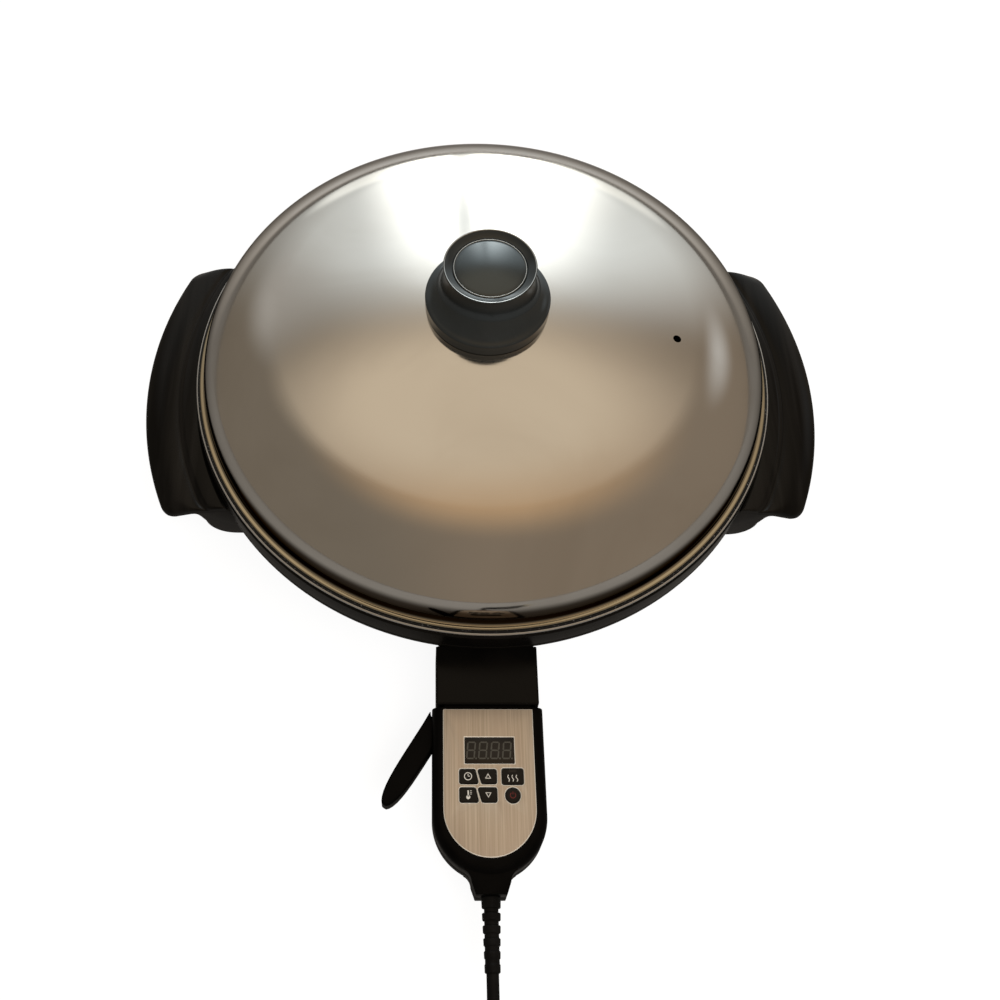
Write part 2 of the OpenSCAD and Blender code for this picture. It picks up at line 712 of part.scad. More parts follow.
// Neck of the case, blended into the round rear
module neck_form(h) {
    turn = atan2(rear_y - fillet_y, -fillet_x);
    side = arc_points([fillet_x, fillet_y], fillet_r, turn, 180, 6);
    linear_extrude(h) polygon(both_sides(concat([[0, side[0][1] + 6], [side[0][0] - 2, side[0][1] + 4]],
        side, [[neck_tip_hw, neck_end], [0, neck_end]])));
}

// Case half of height h, hollow, with its screw bosses
module case_half(h, roof) {
    difference() {
        union() {
            difference() {
                union() {
                    case_form(probe_hw, h, case_round, 0);
                    neck_form(min(neck_hh, h - 1));
                }
                translate([0, 0, -1]) case_form(probe_hw - case_t, h + 1 - roof, case_round - case_t, -case_t - 0.5);
                translate([-neck_tip_hw + case_t, neck_end + case_t, -1])
                    cube([2 * (neck_tip_hw - case_t), rear_y - neck_end - case_t, boot_flange_r + 1.2]);
            }
            for (p = case_screws) translate([p[0], p[1], 0]) cylinder(r = case_boss_r, h = h - roof + 0.5);
            translate([lever_pivot[0], lever_pivot[1], lever_hh + 0.3]) cylinder(r = lever_boss_r, h = h - roof - lever_hh);
        }
        translate([0, neck_end + 5, 0]) rotate([90, 0, 0]) cylinder(r = boot_neck_r + hole_gap, h = 10);
        for (s = [-1, 1]) bar_y(s * pin_x, 1, -2 * case_t - 1, 0, sleeve_r + hole_gap);
        bar_y(0, 1, -2 * case_t - 1, 0, rod_r + hole_gap);
        translate([-probe_hw - 1, lever_slot[0], -1])
            cube([case_t + 4, lever_slot[1] - lever_slot[0], lever_hh + lever_gap + 1]);
        translate([lever_pivot[0], lever_pivot[1], -1]) cylinder(r = lever_pin_r + hole_gap, h = h - roof + 1);
    }
}

module probe_upper_case() {
    color([0.075, 0.07, 0.065]) in_probe() difference() {
        case_half(upper_h, roof_t);
        translate([0, 0, face_z]) linear_extrude(upper_h) faceplate_outline(face_gap);
        translate([window_x - window_w / 2 + window_ledge, window_y - window_h / 2 + window_ledge, 0])
            cube([window_w - 2 * window_ledge, window_h - 2 * window_ledge, upper_h]);
        for (k = [0:5]) linear_extrude(upper_h) key_outline(k, key_gap);
        for (p = case_screws) translate([p[0], p[1], -1]) cylinder(r = m3_r + hole_gap, h = 9);
    }
}

module probe_lower_case() {
    color([0.075, 0.07, 0.065]) in_probe() difference() {
        union() {
            mirror([0, 0, 1]) case_half(lower_h, case_t);
            for (p = board_holes) translate([p[0], p[1], case_t - 0.5 - lower_h])
                cylinder(r = 3.2, h = lower_h - case_t + 0.5 + board_z);
        }
        for (p = case_screws) translate([p[0], p[1], -lower_h - 1]) {
            cylinder(r = m3_r + hole_gap, h = lower_h + 2);
            cylinder(r = m3_head_r + 0.3, h = 4);
        }
        for (p = board_holes) translate([p[0], p[1], board_z - 7]) cylinder(r = 1.2 + hole_gap, h = 8);
    }
}

module case_screws() {
    color("silver") in_probe() for (p = case_screws) translate([p[0], p[1], 3 - lower_h])
        screw_up(m3_r, m3_head_r, m3_head_h, lower_h - 3 + 7);
}

module probe_nose() {
    color([0.1, 0.09, 0.085]) in_probe() difference() {
        translate([-nose_hw, 0, -nose_hh]) cube([2 * nose_hw, nose_len, 2 * nose_hh]);
        for (s = [-1, 1]) bar_y(s * pin_x, nose_len + 1, -1, 0, sleeve_r + hole_gap);
        bar_y(0, nose_len + 1, -1, 0, rod_r + hole_gap);
    }
}

module contact_sleeves() {
    color("goldenrod") in_probe() for (s = [-1, 1]) difference() {
        bar_y(s * pin_x, nose_len - 1, -sleeve_back, 0, sleeve_r);
        bar_y(s * pin_x, nose_len, 2, 0, sleeve_bore);
    }
}

module sensor_rod() {
    color("silver") in_probe() bar_y(0, rod_len, -sleeve_back, 0, rod_r);
}

// Outline of the metal faceplate: square front, round rear
module faceplate_outline(gap) {
    hw = face_hw + gap;
    polygon(concat([[hw, face_front + gap], [-hw, face_front + gap]], arc_points([0, face_rear], hw, 180, 360, 32)));
}

// Outline of key k, grown by a gap
module key_outline(k, gap) {
    row = k == 0 || k == 1 || k == 4 ? key_row_1 : key_row_2;
    half = key_h / 2 + gap + (k == 4 ? warm_extra : 0);
    top = row + half;
    low = row - half;
    round = key_corner + gap;
    if (k == 0 || k == 2)
        polygon(rounded([[key_left[0] - gap, top], [key_left[1] + gap, top], [key_left[2] + gap, low],
            [key_left[0] - gap, low]], round));
    if (k == 1 || k == 3)
        polygon(rounded([[key_mid[0] - gap, top], [key_mid[2] + gap, top], [key_mid[2] + gap, low],
            [key_mid[1] - gap, low]], round));
    if (k == 4)
        polygon(rounded([[key_right[0] - gap, top], [key_right[1] + gap, top], [key_right[1] + gap, low],
            [key_right[0] - gap, low]], round));
    if (k == 5) translate(power_c) circle(r = power_r + gap);
}

module faceplate() {
    color([0.68, 0.61, 0.52]) in_probe() translate([0, 0, face_z]) linear_extrude(face_t) difference() {
        faceplate_outline(0);
        for (k = [0:5]) key_outline(k, key_gap);
        translate([window_x - window_w / 2 - 0.1, window_y - window_h / 2 - 0.1]) square([window_w + 0.2, window_h + 0.2]);
    }
}

module display_window() {
    color([0.13, 0.11, 0.09]) in_probe() translate([window_x - window_w / 2, window_y - window_h / 2, face_z])
        cube([window_w, window_h, window_t]);
}

module display_module() {
    color([0.1, 0.1, 0.1]) in_probe() translate([window_x - window_w / 2 + 0.8, window_y - window_h / 2, board_z + board_t])
        cube([window_w - 1.6, window_h, upper_h - roof_t - board_z - board_t - 0.2]);
}

module circuit_board() {
    color([0.1, 0.35, 0.2]) in_probe() difference() {
        translate([board_x[0], board_y[0], board_z]) cube([board_x[1] - board_x[0], board_y[1] - board_y[0], board_t]);
        for (p = board_holes) translate([p[0], p[1], board_z - 1]) cylinder(r = 1.2 + hole_gap, h = board_t + 2);
    }
}

module board_screws() {
    color("silver") in_probe() for (p = board_holes) translate([p[0], p[1], board_z + board_t])
        rotate([180, 0, 0]) screw_up(1.2, 2.2, 1.4, board_t + 5);
}

// Middle of key k
function key_middle(k) = k == 5 ? power_c : k == 4 ? [(key_right[0] + key_right[1]) / 2, key_row_1]
    : [k % 2 == 0 ? (key_left[0] + key_left[1]) / 2 + 0.5 : (key_mid[0] + key_mid[2]) / 2 + 0.5,
        k < 2 ? key_row_1 : key_row_2];

module key_switches() {
    color([0.2, 0.2, 0.2]) in_probe() for (k = [0:5]) translate([key_middle(k)[0], key_middle(k)[1], board_z + board_t]) {
        translate([-3, -3, 0]) cube([6, 6, switch_t]);
        cylinder(r = plunger_r, h = plunger_top - board_z - board_t);
    }
}

module relay() {
    color([0.15, 0.25, 0.5]) in_probe() translate([-18, -61, board_z - 14]) cube([17, 15, 14]);
}

module transformer() {
    color([0.75, 0.7, 0.2]) in_probe() translate([2, -62, board_z - 14.5]) cube([18, 17, 14.5]);
}

module wire_terminal() {
    color([0.1, 0.45, 0.25]) in_probe() translate([-9, -77, board_z - 9]) cube([18, 9, 9]);
}

module lead_wires() {
    color([0.15, 0.3, 0.6]) in_probe() for (x = [-4.5, 0, 4.5]) bar_y(x, -77, neck_end + case_t + 3, 0, 1.3);
}

module key(k) {
    color([0.1, 0.075, 0.065]) in_probe() translate([0, 0, key_low])
        linear_extrude(face_top + key_proud - key_low) key_outline(k, 0);
}

module time_key() { key(0); }
module up_key() { key(1); }
module temperature_key() { key(2); }
module down_key() { key(3); }
module warm_key() { key(4); }
module power_key() { key(5); }

// Plan of the lever: round eye, a heel at the case's front corner and a blade that closes in a round tip
module lever_outline() {
    arm = lever_tip - lever_root;
    across = unit([arm[1], -arm[0]]);
    steps = [for (i = [0:12]) sin(90 * i / 12)];
    edge = [for (s = [1, -1]) [for (t = steps) lever_root + arm * t + s * lever_hw * sqrt(1 - pow(t, 5)) * across]];
    polygon(concat(edge[0], flip([for (i = [0:11]) edge[1][i]]), lever_heel));
    translate(lever_pivot) circle(r = lever_eye);
}

module release_lever() {
    color([0.085, 0.08, 0.075]) in_probe() translate([0, 0, -lever_hh]) difference() {
        linear_extrude(2 * lever_hh) lever_outline();
        translate([lever_pivot[0], lever_pivot[1], -1]) cylinder(r = lever_pin_r + lever_fit, h = 2 * lever_hh + 2);
    }
}

module lever_pin() {
    color("silver") in_probe() translate([lever_pivot[0], lever_pivot[1], case_t - lower_h])
        cylinder(r = lever_pin_r, h = lower_h - case_t + upper_h - roof_t);
}

module lever_spring() {
    in_r = lever_boss_r + spring_gap;
    low = case_t - lower_h + spring_lift;
    color("silver") in_probe() translate([lever_pivot[0], lever_pivot[1], low]) difference() {
        cylinder(r = in_r + spring_t, h = -lever_hh - 0.3 - low);
        translate([0, 0, -1]) cylinder(r = in_r, h = lower_h);
    }
}

module strain_relief() {
    groove = boot_len / (2 * boot_grooves + 2);
    tip_y = neck_end - boot_len;
    color([0.07, 0.065, 0.06]) in_probe() difference() {
        union() {
            bar_y(0, neck_end + case_t + 3, neck_end + case_t + 0.2, 0, boot_flange_r - 1.2);
            bar_y(0, neck_end + case_t + 0.2, neck_end, 0, boot_neck_r);
            translate([0, neck_end, 0]) rotate([90, 0, 0]) cylinder(r1 = boot_r, r2 = boot_tip_r, h = boot_len);
        }
        for (i = [1:boot_grooves]) translate([0, neck_end - groove * (2 * i - 0.2), 0]) rotate([90, 0, 0]) difference() {
            cylinder(r = boot_r + 1, h = groove * 0.8);
            translate([0, 0, -1]) cylinder(r = boot_tip_r - 0.3, h = groove + 2);
        }
    }
}

module cord_run() {
    color([0.06, 0.06, 0.06]) tube(route_points(cord_route, 1), cord_d / 2, cord_sides, [0, -1, 0], [0, -1, 0]);
}

module cord_coil() {
    color([0.06, 0.06, 0.06]) tube(coil_path, cord_d / 2, coil_sides, [0, -1, 0], coil_exit);
}

// Strap round the whole bundle of turns
module cord_tie() {
    inner = coil_r - coil_pitch * coil_turns / 2 - cord_d / 2 - 0.4;
    outer = coil_r + cord_d / 2 + 0.4;
    low = coil_c[2] - cord_d / 2 - 0.2;
    high = coil_c[2] + coil_layer + cord_d / 2 + 0.4;
    color([0.08, 0.08, 0.08]) translate([coil_c[0], coil_c[1], 0]) rotate([0, 0, tie_angle]) difference() {
        translate([inner - tie_t, -tie_w / 2, low - tie_t]) cube([outer - inner + 2 * tie_t, tie_w, high - low + 2 * tie_t]);
        translate([inner, -tie_w, low]) cube([outer - inner, 2 * tie_w, high - low]);
    }
}

// Moves to the back of the plug, with x along the way it points
module at_plug() {
    translate(plug_back) rotate([0, 0, plug_turn]) children();
}

module plug_body() {
    color([0.06, 0.06, 0.06]) at_plug() {
        rotate([0, 90, 0]) cylinder(r1 = cord_d / 2 + 1, r2 = plug_hh - 3, h = plug_neck);
        translate([plug_neck, -plug_hw, -plug_hh]) cube([plug_len - plug_neck, 2 * plug_hw, 2 * plug_hh]);
    }
}

module plug_blades() {
    color([0.8, 0.7, 0.45]) at_plug() for (s = [-1, 1])
        translate([plug_len, s * 6.35 - 0.75, -1]) cube([blade_len, 1.5, 6.3]);
}

module plug_ground_pin() {
    color([0.8, 0.7, 0.45]) at_plug() translate([plug_len, 0, -7]) rotate([0, 90, 0]) cylinder(r = 2.4, h = blade_len + 3);
}

base_shell();
bottom_cover();
cover_screws();
rubber_feet();
foot_screws();
left_handle();
right_handle();
handle_screws();
cooking_plate();
plate_bolts();
heating_element();
element_clamps();
heat_shield();
shield_posts();
terminal_block();
terminal_pins();
sensor_well();
socket_hood();
hood_screws();
lid_dome();
knob_body();
knob_disc();
knob_insert();
knob_screw();
knob_washer();
probe_upper_case();
probe_lower_case();
case_screws();
probe_nose();
contact_sleeves();
sensor_rod();
faceplate();
display_window();
display_module();
circuit_board();
board_screws();
key_switches();
relay();
transformer();
wire_terminal();
lead_wires();
time_key();
up_key();
temperature_key();
down_key();
warm_key();
power_key();
release_lever();
lever_pin();
lever_spring();
strain_relief();
cord_run();
cord_coil();
cord_tie();
plug_body();
plug_blades();
plug_ground_pin();
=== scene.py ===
import math
import bmesh
import bpy
from mathutils import Matrix, Vector


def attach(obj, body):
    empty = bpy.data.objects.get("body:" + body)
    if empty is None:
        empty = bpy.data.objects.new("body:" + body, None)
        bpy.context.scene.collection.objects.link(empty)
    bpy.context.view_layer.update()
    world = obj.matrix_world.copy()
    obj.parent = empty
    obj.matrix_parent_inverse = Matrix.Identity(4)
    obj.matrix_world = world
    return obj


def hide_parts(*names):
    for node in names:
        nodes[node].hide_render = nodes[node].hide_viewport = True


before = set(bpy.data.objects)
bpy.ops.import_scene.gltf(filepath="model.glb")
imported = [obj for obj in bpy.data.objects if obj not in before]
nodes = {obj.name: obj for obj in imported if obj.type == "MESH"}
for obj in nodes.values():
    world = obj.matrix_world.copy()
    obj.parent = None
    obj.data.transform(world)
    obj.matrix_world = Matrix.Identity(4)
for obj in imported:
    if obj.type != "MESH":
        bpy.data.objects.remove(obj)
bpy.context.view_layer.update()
scene = bpy.context.scene

# Camera: held above the user's side of the plate and tipped down on to the lid.
# The picture is a crop that lies down and to the right of the lens axis, so the lens is shifted.
sensor_w, focal_share = 36.0, 1.1843
camera_data = bpy.data.cameras.new("camera")
camera_data.sensor_width = sensor_w
camera_data.lens = sensor_w * focal_share
camera_data.shift_x = 0.06
camera_data.shift_y = -0.10
camera_data.clip_start = 0.01
camera = bpy.data.objects.new("camera", camera_data)
scene.collection.objects.link(camera)
camera_sight = Vector((0.01312, 0.52963, -0.84813)).normalized()
camera_right = Vector((0.99990, -0.00267, 0.01380))
camera_up = camera_right.cross(camera_sight).normalized()
camera_right = camera_sight.cross(camera_up)
camera.matrix_world = Matrix((camera_right, camera_up, -camera_sight)).transposed().to_4x4()
camera.location = (-0.04197, -0.47698, 0.80050)
scene.camera = camera

# Room and floor: a plain pale table top in a soft room, as the polished lid mirrors them. A tall window
# with low panes beside it stands behind, a warm ceiling hangs overhead, a paler patch stands at each
# side, and the user's side is dim. In reflections the table glows dim and warm, with a painted pool of
# window light, brighter and whiter, on the part that lies behind the maker.
scene.view_settings.view_transform = "Standard"
white = (1.0, 1.0, 1.0, 1.0)
any_way = 1000.0


def feed(tree, node, sockets):
    for socket, value in sockets.items():
        if isinstance(value, bpy.types.NodeSocket):
            tree.links.new(value, node.inputs[socket])
        else:
            node.inputs[socket].default_value = value


def add_node(tree, kind, sockets, **settings):
    node = tree.nodes.new(kind)
    for setting, value in settings.items():
        setattr(node, setting, value)
    feed(tree, node, sockets)
    return node


def smooth_step(tree, value, low, high):
    sockets = {"Value": value, "From Min": low, "From Max": high}
    return add_node(tree, "ShaderNodeMapRange", sockets, interpolation_type="SMOOTHSTEP").outputs["Result"]


def mix_colours(tree, factor, first, second):
    return add_node(tree, "ShaderNodeMix", {0: factor, 6: first, 7: second}, data_type="RGBA").outputs[2]


def calculate(tree, operation, *values):
    return add_node(tree, "ShaderNodeMath", dict(enumerate(values)), operation=operation).outputs[0]


def product(tree, first, second):
    return calculate(tree, "MULTIPLY", first, second)


def reach_from(tree, vector, middle, spread):
    for operation, value in (("SUBTRACT", middle), ("DIVIDE", spread)):
        vector = add_node(tree, "ShaderNodeVectorMath", {0: vector, 1: value}, operation=operation).outputs[0]
    return add_node(tree, "ShaderNodeVectorMath", {0: vector}, operation="LENGTH").outputs["Value"]


world = bpy.data.worlds.new("room")
scene.world = world
world.use_nodes = True
room_tree = world.node_tree
room_tree.nodes.clear()
way = room_tree.nodes.new("ShaderNodeTexCoord").outputs["Generated"]
way_axes = add_node(room_tree, "ShaderNodeSeparateXYZ", {0: way}).outputs


def room_patch(middle, spread, outer, inner):
    return smooth_step(room_tree, reach_from(room_tree, way, middle, spread), outer, inner)


def upright_strip(middle, outer, inner):
    return room_patch((middle, 0.0, 0.0), (1.0, any_way, any_way), outer, inner)


def behind(low, high):
    return smooth_step(room_tree, way_axes["Y"], low, high)


dim_left = (0.190, 0.160, 0.125, 1.0)
dim_right = (0.237, 0.190, 0.143, 1.0)
warm_spill = (0.53, 0.36, 0.21, 1.0)
back_wall = (0.92, 0.97, 0.97, 1.0)
warm_ceiling = (0.645, 0.537, 0.403, 1.0)
side_window = (0.52, 0.50, 0.47, 1.0)
side_glow = (0.42, 0.40, 0.37, 1.0)
low_window = (1.25, 1.28, 1.24, 1.0)
window_glow = (6.6, 6.8, 6.7, 1.0)
spill = room_patch((0.08, 0.02, 0.0), (0.68, 0.48, any_way), 1.1, 0.1)
wall = product(room_tree, upright_strip(0.11, 0.95, 0.10), behind(0.467, 0.776))
ceiling = room_patch((0.013, 0.28, 0.0), (0.71, 0.37, any_way), 1.06, 0.40)
right_patch = room_patch((0.785, 0.453, 0.395), (0.13, 0.22, 0.20), 1.3, 0.0)
left_patch = room_patch((-0.55, 0.62, 0.50), (0.24, 0.24, 0.34), 1.2, 0.0)
low_strip = room_patch((0.05, 0.0, 0.09), (0.46, any_way, 0.19), 1.1, 0.8)
low_panes = product(room_tree, low_strip, behind(0.6, 0.8))
tall_panes = product(room_tree, upright_strip(0.06, 0.334, 0.0), behind(0.562, 1.20))
tall_panes = product(room_tree, tall_panes, upright_strip(0.0, 0.014, 0.036))
room = mix_colours(room_tree, smooth_step(room_tree, way_axes["X"], -0.6, 0.1), dim_left, dim_right)
for patch, colour in ((spill, warm_spill), (wall, back_wall), (ceiling, warm_ceiling),
                      (right_patch, side_window), (left_patch, side_glow), (low_panes, low_window),
                      (tall_panes, window_glow)):
    room = mix_colours(room_tree, patch, room, colour)
seen_direct = room_tree.nodes.new("ShaderNodeLightPath").outputs["Is Camera Ray"]
room = mix_colours(room_tree, seen_direct, room, white)
room_light = add_node(room_tree, "ShaderNodeBackground", {"Color": room, "Strength": 1.0})
add_node(room_tree, "ShaderNodeOutputWorld", {"Surface": room_light.outputs[0]})


def area_light(name, place, aim, size, power, colour):
    data = bpy.data.lights.new(name, "AREA")
    data.shape = "RECTANGLE"
    data.size, data.size_y = size
    data.energy = power
    data.color = colour
    lamp = bpy.data.objects.new(name, data)
    scene.collection.objects.link(lamp)
    lamp.location = place
    lamp.rotation_euler = (Vector(aim) - Vector(place)).to_track_quat("-Z", "Y").to_euler()
    lamp.visible_glossy = False


area_light("back_panel", (-0.3, 1.9, 1.8), (0, 0, 0.1), (2.0, 1.2), 14.0, (0.98, 0.99, 1.0))
area_light("front_panel", (0.7, -1.6, 2.3), (0, -0.1, 0.0), (2.2, 1.8), 60.0, (1.0, 0.985, 0.96))

floor_half, floor_z = 6.0, -0.0006
floor_corners = [(x * floor_half, y * floor_half, floor_z) for x, y in ((-1, -1), (1, -1), (1, 1), (-1, 1))]
floor_mesh = bpy.data.meshes.new("table_top")
floor_mesh.from_pydata(floor_corners, [], [(0, 1, 2, 3)])
floor = bpy.data.objects.new("table_top", floor_mesh)
scene.collection.objects.link(floor)
floor_material = bpy.data.materials.new("pale_table_top")
floor_material.use_nodes = True
floor_tree = floor_material.node_tree
floor_tree.nodes.clear()
table_grey = (0.15, 0.15, 0.15, 1.0)
warm_table = (1.0, 0.88, 0.74, 1.0)
seen_glow, painted_light_glow, dim_glow = 0.91, 0.84, 0.072
ray = floor_tree.nodes.new("ShaderNodeLightPath").outputs
floor_place = floor_tree.nodes.new("ShaderNodeTexCoord").outputs["Object"]
# Painted light: in reflections the table glows brighter and whiter in a patch behind the maker, a painted pool
# of window light.
painted_light_reach = reach_from(floor_tree, floor_place, (0.05, 0.85, 0.0), (1.18, 1.0, any_way))
painted_light_pool = smooth_step(floor_tree, painted_light_reach, 0.85, 0.15)
mirrored_glow = calculate(floor_tree, "MULTIPLY_ADD", painted_light_pool, painted_light_glow, dim_glow)
mirrored_glow = product(floor_tree, ray["Is Glossy Ray"], mirrored_glow)
seen = calculate(floor_tree, "MAXIMUM", ray["Is Camera Ray"], ray["Is Transmission Ray"])
glow = calculate(floor_tree, "MULTIPLY_ADD", seen, seen_glow, mirrored_glow)
mirrored_tone = mix_colours(floor_tree, painted_light_pool, warm_table, white)
tone = mix_colours(floor_tree, ray["Is Glossy Ray"], white, mirrored_tone)
floor_paint = add_node(floor_tree, "ShaderNodeBsdfDiffuse", {"Color": table_grey})
floor_glow = add_node(floor_tree, "ShaderNodeEmission", {"Color": tone, "Strength": glow})
floor_sum = add_node(floor_tree, "ShaderNodeAddShader", {0: floor_paint.outputs[0], 1: floor_glow.outputs[0]})
add_node(floor_tree, "ShaderNodeOutputMaterial", {"Surface": floor_sum.outputs[0]})
floor_mesh.materials.append(floor_material)

# Mains lead: a round black flexible lead that leaves the probe's strain relief, drops to the table
# and is wound away in two layers of turns under a strap, with its plug lying beside the coil.
mm = 0.001
lead_d = 7.5 * mm
lead_drop = [(-394.2, 29), (-404, 29), (-414, 28), (-425, 25.5), (-436, 21.5), (-447, 16.5), (-458, 11.5),
             (-469, 8), (-480, 6), (-492, 5.2), (-504, 5.2), (-512, 5.2)]
coil_turns, coil_r, coil_pitch, coil_layer, coil_tail = 3.25, 45.0, 8.3, 8.1, 30.0
coil_middle = (45.0, -519.5, 5.2)


def noise(tree, vector, scale, detail=2.0, distortion=0.0):
    sockets = {"Vector": vector, "Scale": scale, "Detail": detail, "Distortion": distortion}
    return add_node(tree, "ShaderNodeTexNoise", sockets).outputs["Fac"]


def between(tree, value, low, high):
    sockets = {"Value": value, "To Min": low, "To Max": high}
    return add_node(tree, "ShaderNodeMapRange", sockets).outputs["Result"]


def bump_from(tree, height, strength, depth=0.0002):
    sockets = {"Height": height, "Strength": strength, "Distance": depth}
    return add_node(tree, "ShaderNodeBump", sockets).outputs["Normal"]


def moulded_grain_group():
    group = bpy.data.node_groups.new("moulded_grain", "ShaderNodeTree")
    for name, kind, value in (("Colour", "Color", (0.02, 0.02, 0.02, 1)),
                              ("Patch colour", "Color", (0.03, 0.03, 0.03, 1)),
                              ("Patch scale", "Float", 30.0), ("Grain scale", "Float", 2000.0),
                              ("Least roughness", "Float", 0.3), ("Most roughness", "Float", 0.5),
                              ("Grain depth", "Float", 0.1), ("Stretch", "Vector", (1, 1, 1))):
        socket = group.interface.new_socket(name, in_out="INPUT", socket_type="NodeSocket" + kind)
        socket.default_value = value
    for name, kind in (("Colour", "Color"), ("Roughness", "Float"), ("Normal", "Vector")):
        group.interface.new_socket(name, in_out="OUTPUT", socket_type="NodeSocket" + kind)
    given = group.nodes.new("NodeGroupInput").outputs
    place = group.nodes.new("ShaderNodeTexCoord").outputs["Object"]
    drawn_out = add_node(group, "ShaderNodeVectorMath", {0: place, 1: given["Stretch"]}, operation="MULTIPLY")
    spread = smooth_step(group, noise(group, drawn_out.outputs[0], given["Patch scale"], 5.0), 0.35, 0.68)
    grain = noise(group, place, given["Grain scale"])
    add_node(group, "NodeGroupOutput", {
        "Colour": mix_colours(group, spread, given["Colour"], given["Patch colour"]),
        "Roughness": between(group, spread, given["Least roughness"], given["Most roughness"]),
        "Normal": bump_from(group, grain, given["Grain depth"])})
    return group


moulded_grain = moulded_grain_group()


def new_material(name):
    material = bpy.data.materials.new(name)
    material.use_nodes = True
    return material, material.node_tree, material.node_tree.nodes["Principled BSDF"]


def moulded(name, colour, patch, patch_scale, grain_scale, roughness, grain_depth, metal=0.0, specular=0.5,
            stretch=(1, 1, 1)):
    material, tree, shader = new_material(name)
    given = {"Colour": (*colour, 1.0), "Patch colour": (*patch, 1.0), "Patch scale": patch_scale,
             "Grain scale": grain_scale, "Least roughness": roughness[0], "Most roughness": roughness[1],
             "Grain depth": grain_depth, "Stretch": stretch}
    surface = add_node(tree, "ShaderNodeGroup", given, node_tree=moulded_grain).outputs
    feed(tree, shader, {"Base Color": surface["Colour"], "Roughness": surface["Roughness"],
                        "Normal": surface["Normal"], "Metallic": metal, "Specular IOR Level": specular})
    return material


def object_from(bm, name, smooth_angle=34.0):
    mesh = bpy.data.meshes.new(name)
    bm.to_mesh(mesh)
    bm.free()
    mesh.shade_smooth()
    mesh.set_sharp_from_angle(angle=math.radians(smooth_angle))
    piece = bpy.data.objects.new(name, mesh)
    scene.collection.objects.link(piece)
    return piece


def dress(piece, material, body, slot, *replaced):
    piece.data.materials.clear()
    piece.data.materials.append(material)
    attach(piece, body)
    if replaced:
        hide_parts(*replaced)
    return piece


def sweep_tube(name, points, radius, sides):
    bm = bmesh.new()
    around = bm.loops.layers.uv.new("UVMap")
    rings, run = [], [0.0]
    for i, point in enumerate(points):
        ahead = (points[min(i + 1, len(points) - 1)] - points[max(i - 1, 0)]).normalized()
        side = ahead.cross(Vector((0, 0, 1))).normalized()
        rise = side.cross(ahead)
        turns = [2 * math.pi * k / sides for k in range(sides)]
        outward = [math.cos(a) * side + math.sin(a) * rise for a in turns]
        rings.append([bm.verts.new(point + radius * v) for v in outward])
        if i:
            run.append(run[-1] + (point - points[i - 1]).length / radius)
    for i in range(len(rings) - 1):
        for k in range(sides):
            j = (k + 1) % sides
            face = bm.faces.new((rings[i][k], rings[i][j], rings[i + 1][j], rings[i + 1][k]))
            corners = ((k, i), (k + 1, i), (k + 1, i + 1), (k, i + 1))
            for loop, (u, v) in zip(face.loops, corners):
                loop[around].uv = (u / sides, run[v])
    bm.faces.new(list(reversed(rings[0])))
    bm.faces.new(rings[-1])
    bmesh.ops.recalc_face_normals(bm, faces=bm.faces)
    return object_from(bm, name, 50.0)


def smooth_route(points, steps):
    line = []
    for i in range(len(points) - 1):
        p0, p1 = points[max(i - 1, 0)], points[i]
        p2, p3 = points[i + 1], points[min(i + 2, len(points) - 1)]
        for k in range(steps):
            t = k / steps
            line.append(0.5 * (2 * p1 + (p2 - p0) * t + (2 * p0 - 5 * p1 + 4 * p2 - p3) * t * t
                               + (3 * p1 - p0 - 3 * p2 + p3) * t ** 3))
    return line + [points[-1]]


def ramp(value, low, high):
    return min(1.0, max(0.0, (value - low) / (high - low)))


def coil_point(t):
    r = coil_r - coil_pitch * min(t, coil_turns - t)
    climb = ramp(t, coil_turns / 2 - 0.25, coil_turns / 2 + 0.25)
    turn = math.pi + 2 * math.pi * t
    return Vector((coil_middle[0] + r * math.cos(turn), coil_middle[1] + r * math.sin(turn),
                   coil_middle[2] + coil_layer * climb * climb * (3 - 2 * climb))) * mm


coil_steps = 36
coil_end = coil_point(coil_turns)
coil_way = coil_end - coil_point(coil_turns - 0.01)
coil_way = Vector((coil_way.x, coil_way.y, 0)).normalized()
lead_path = smooth_route([Vector((0, y, z)) * mm for y, z in lead_drop], 2)
lead_path += [coil_point(i / coil_steps) for i in range(int(coil_turns * coil_steps) + 1)]
lead_path += [coil_end + coil_way * coil_tail * mm * k / 3 for k in (1, 2, 3)]
lead_black = moulded("lead_black", (0.004, 0.0037, 0.0035), (0.007, 0.0065, 0.006), 60, 900, (0.42, 0.58), 0.25,
                     specular=0.08)
lead = sweep_tube("mains_lead", lead_path, lead_d / 2, 16)
dress(lead, lead_black, "probe", "cord_black", "cord_run", "cord_coil")


# Plug and strap: a moulded flat-pin plug with an earth pin, and a hook-and-loop strap round the turns.
# The plug's edges are rounded as its mould leaves them.
def rounded_copy(node, name, width, steps=3, where=None):
    merge_reach, flat_angle, sharp_angle = 3e-6, math.radians(0.4), math.radians(32.0)
    bm = bmesh.new()
    bm.from_mesh(nodes[node].data)
    bmesh.ops.remove_doubles(bm, verts=bm.verts, dist=merge_reach)
    bmesh.ops.dissolve_limit(bm, angle_limit=flat_angle, verts=bm.verts, edges=bm.edges)
    edges = [e for e in bm.edges if len(e.link_faces) == 2 and e.calc_face_angle(0) > sharp_angle]
    if where:
        edges = [e for e in edges if where((e.verts[0].co + e.verts[1].co) / 2 / mm)]
    bmesh.ops.bevel(bm, geom=edges, offset=width * mm, segments=steps, profile=0.5, affect="EDGES",
                    clamp_overlap=False)
    return object_from(bm, name)


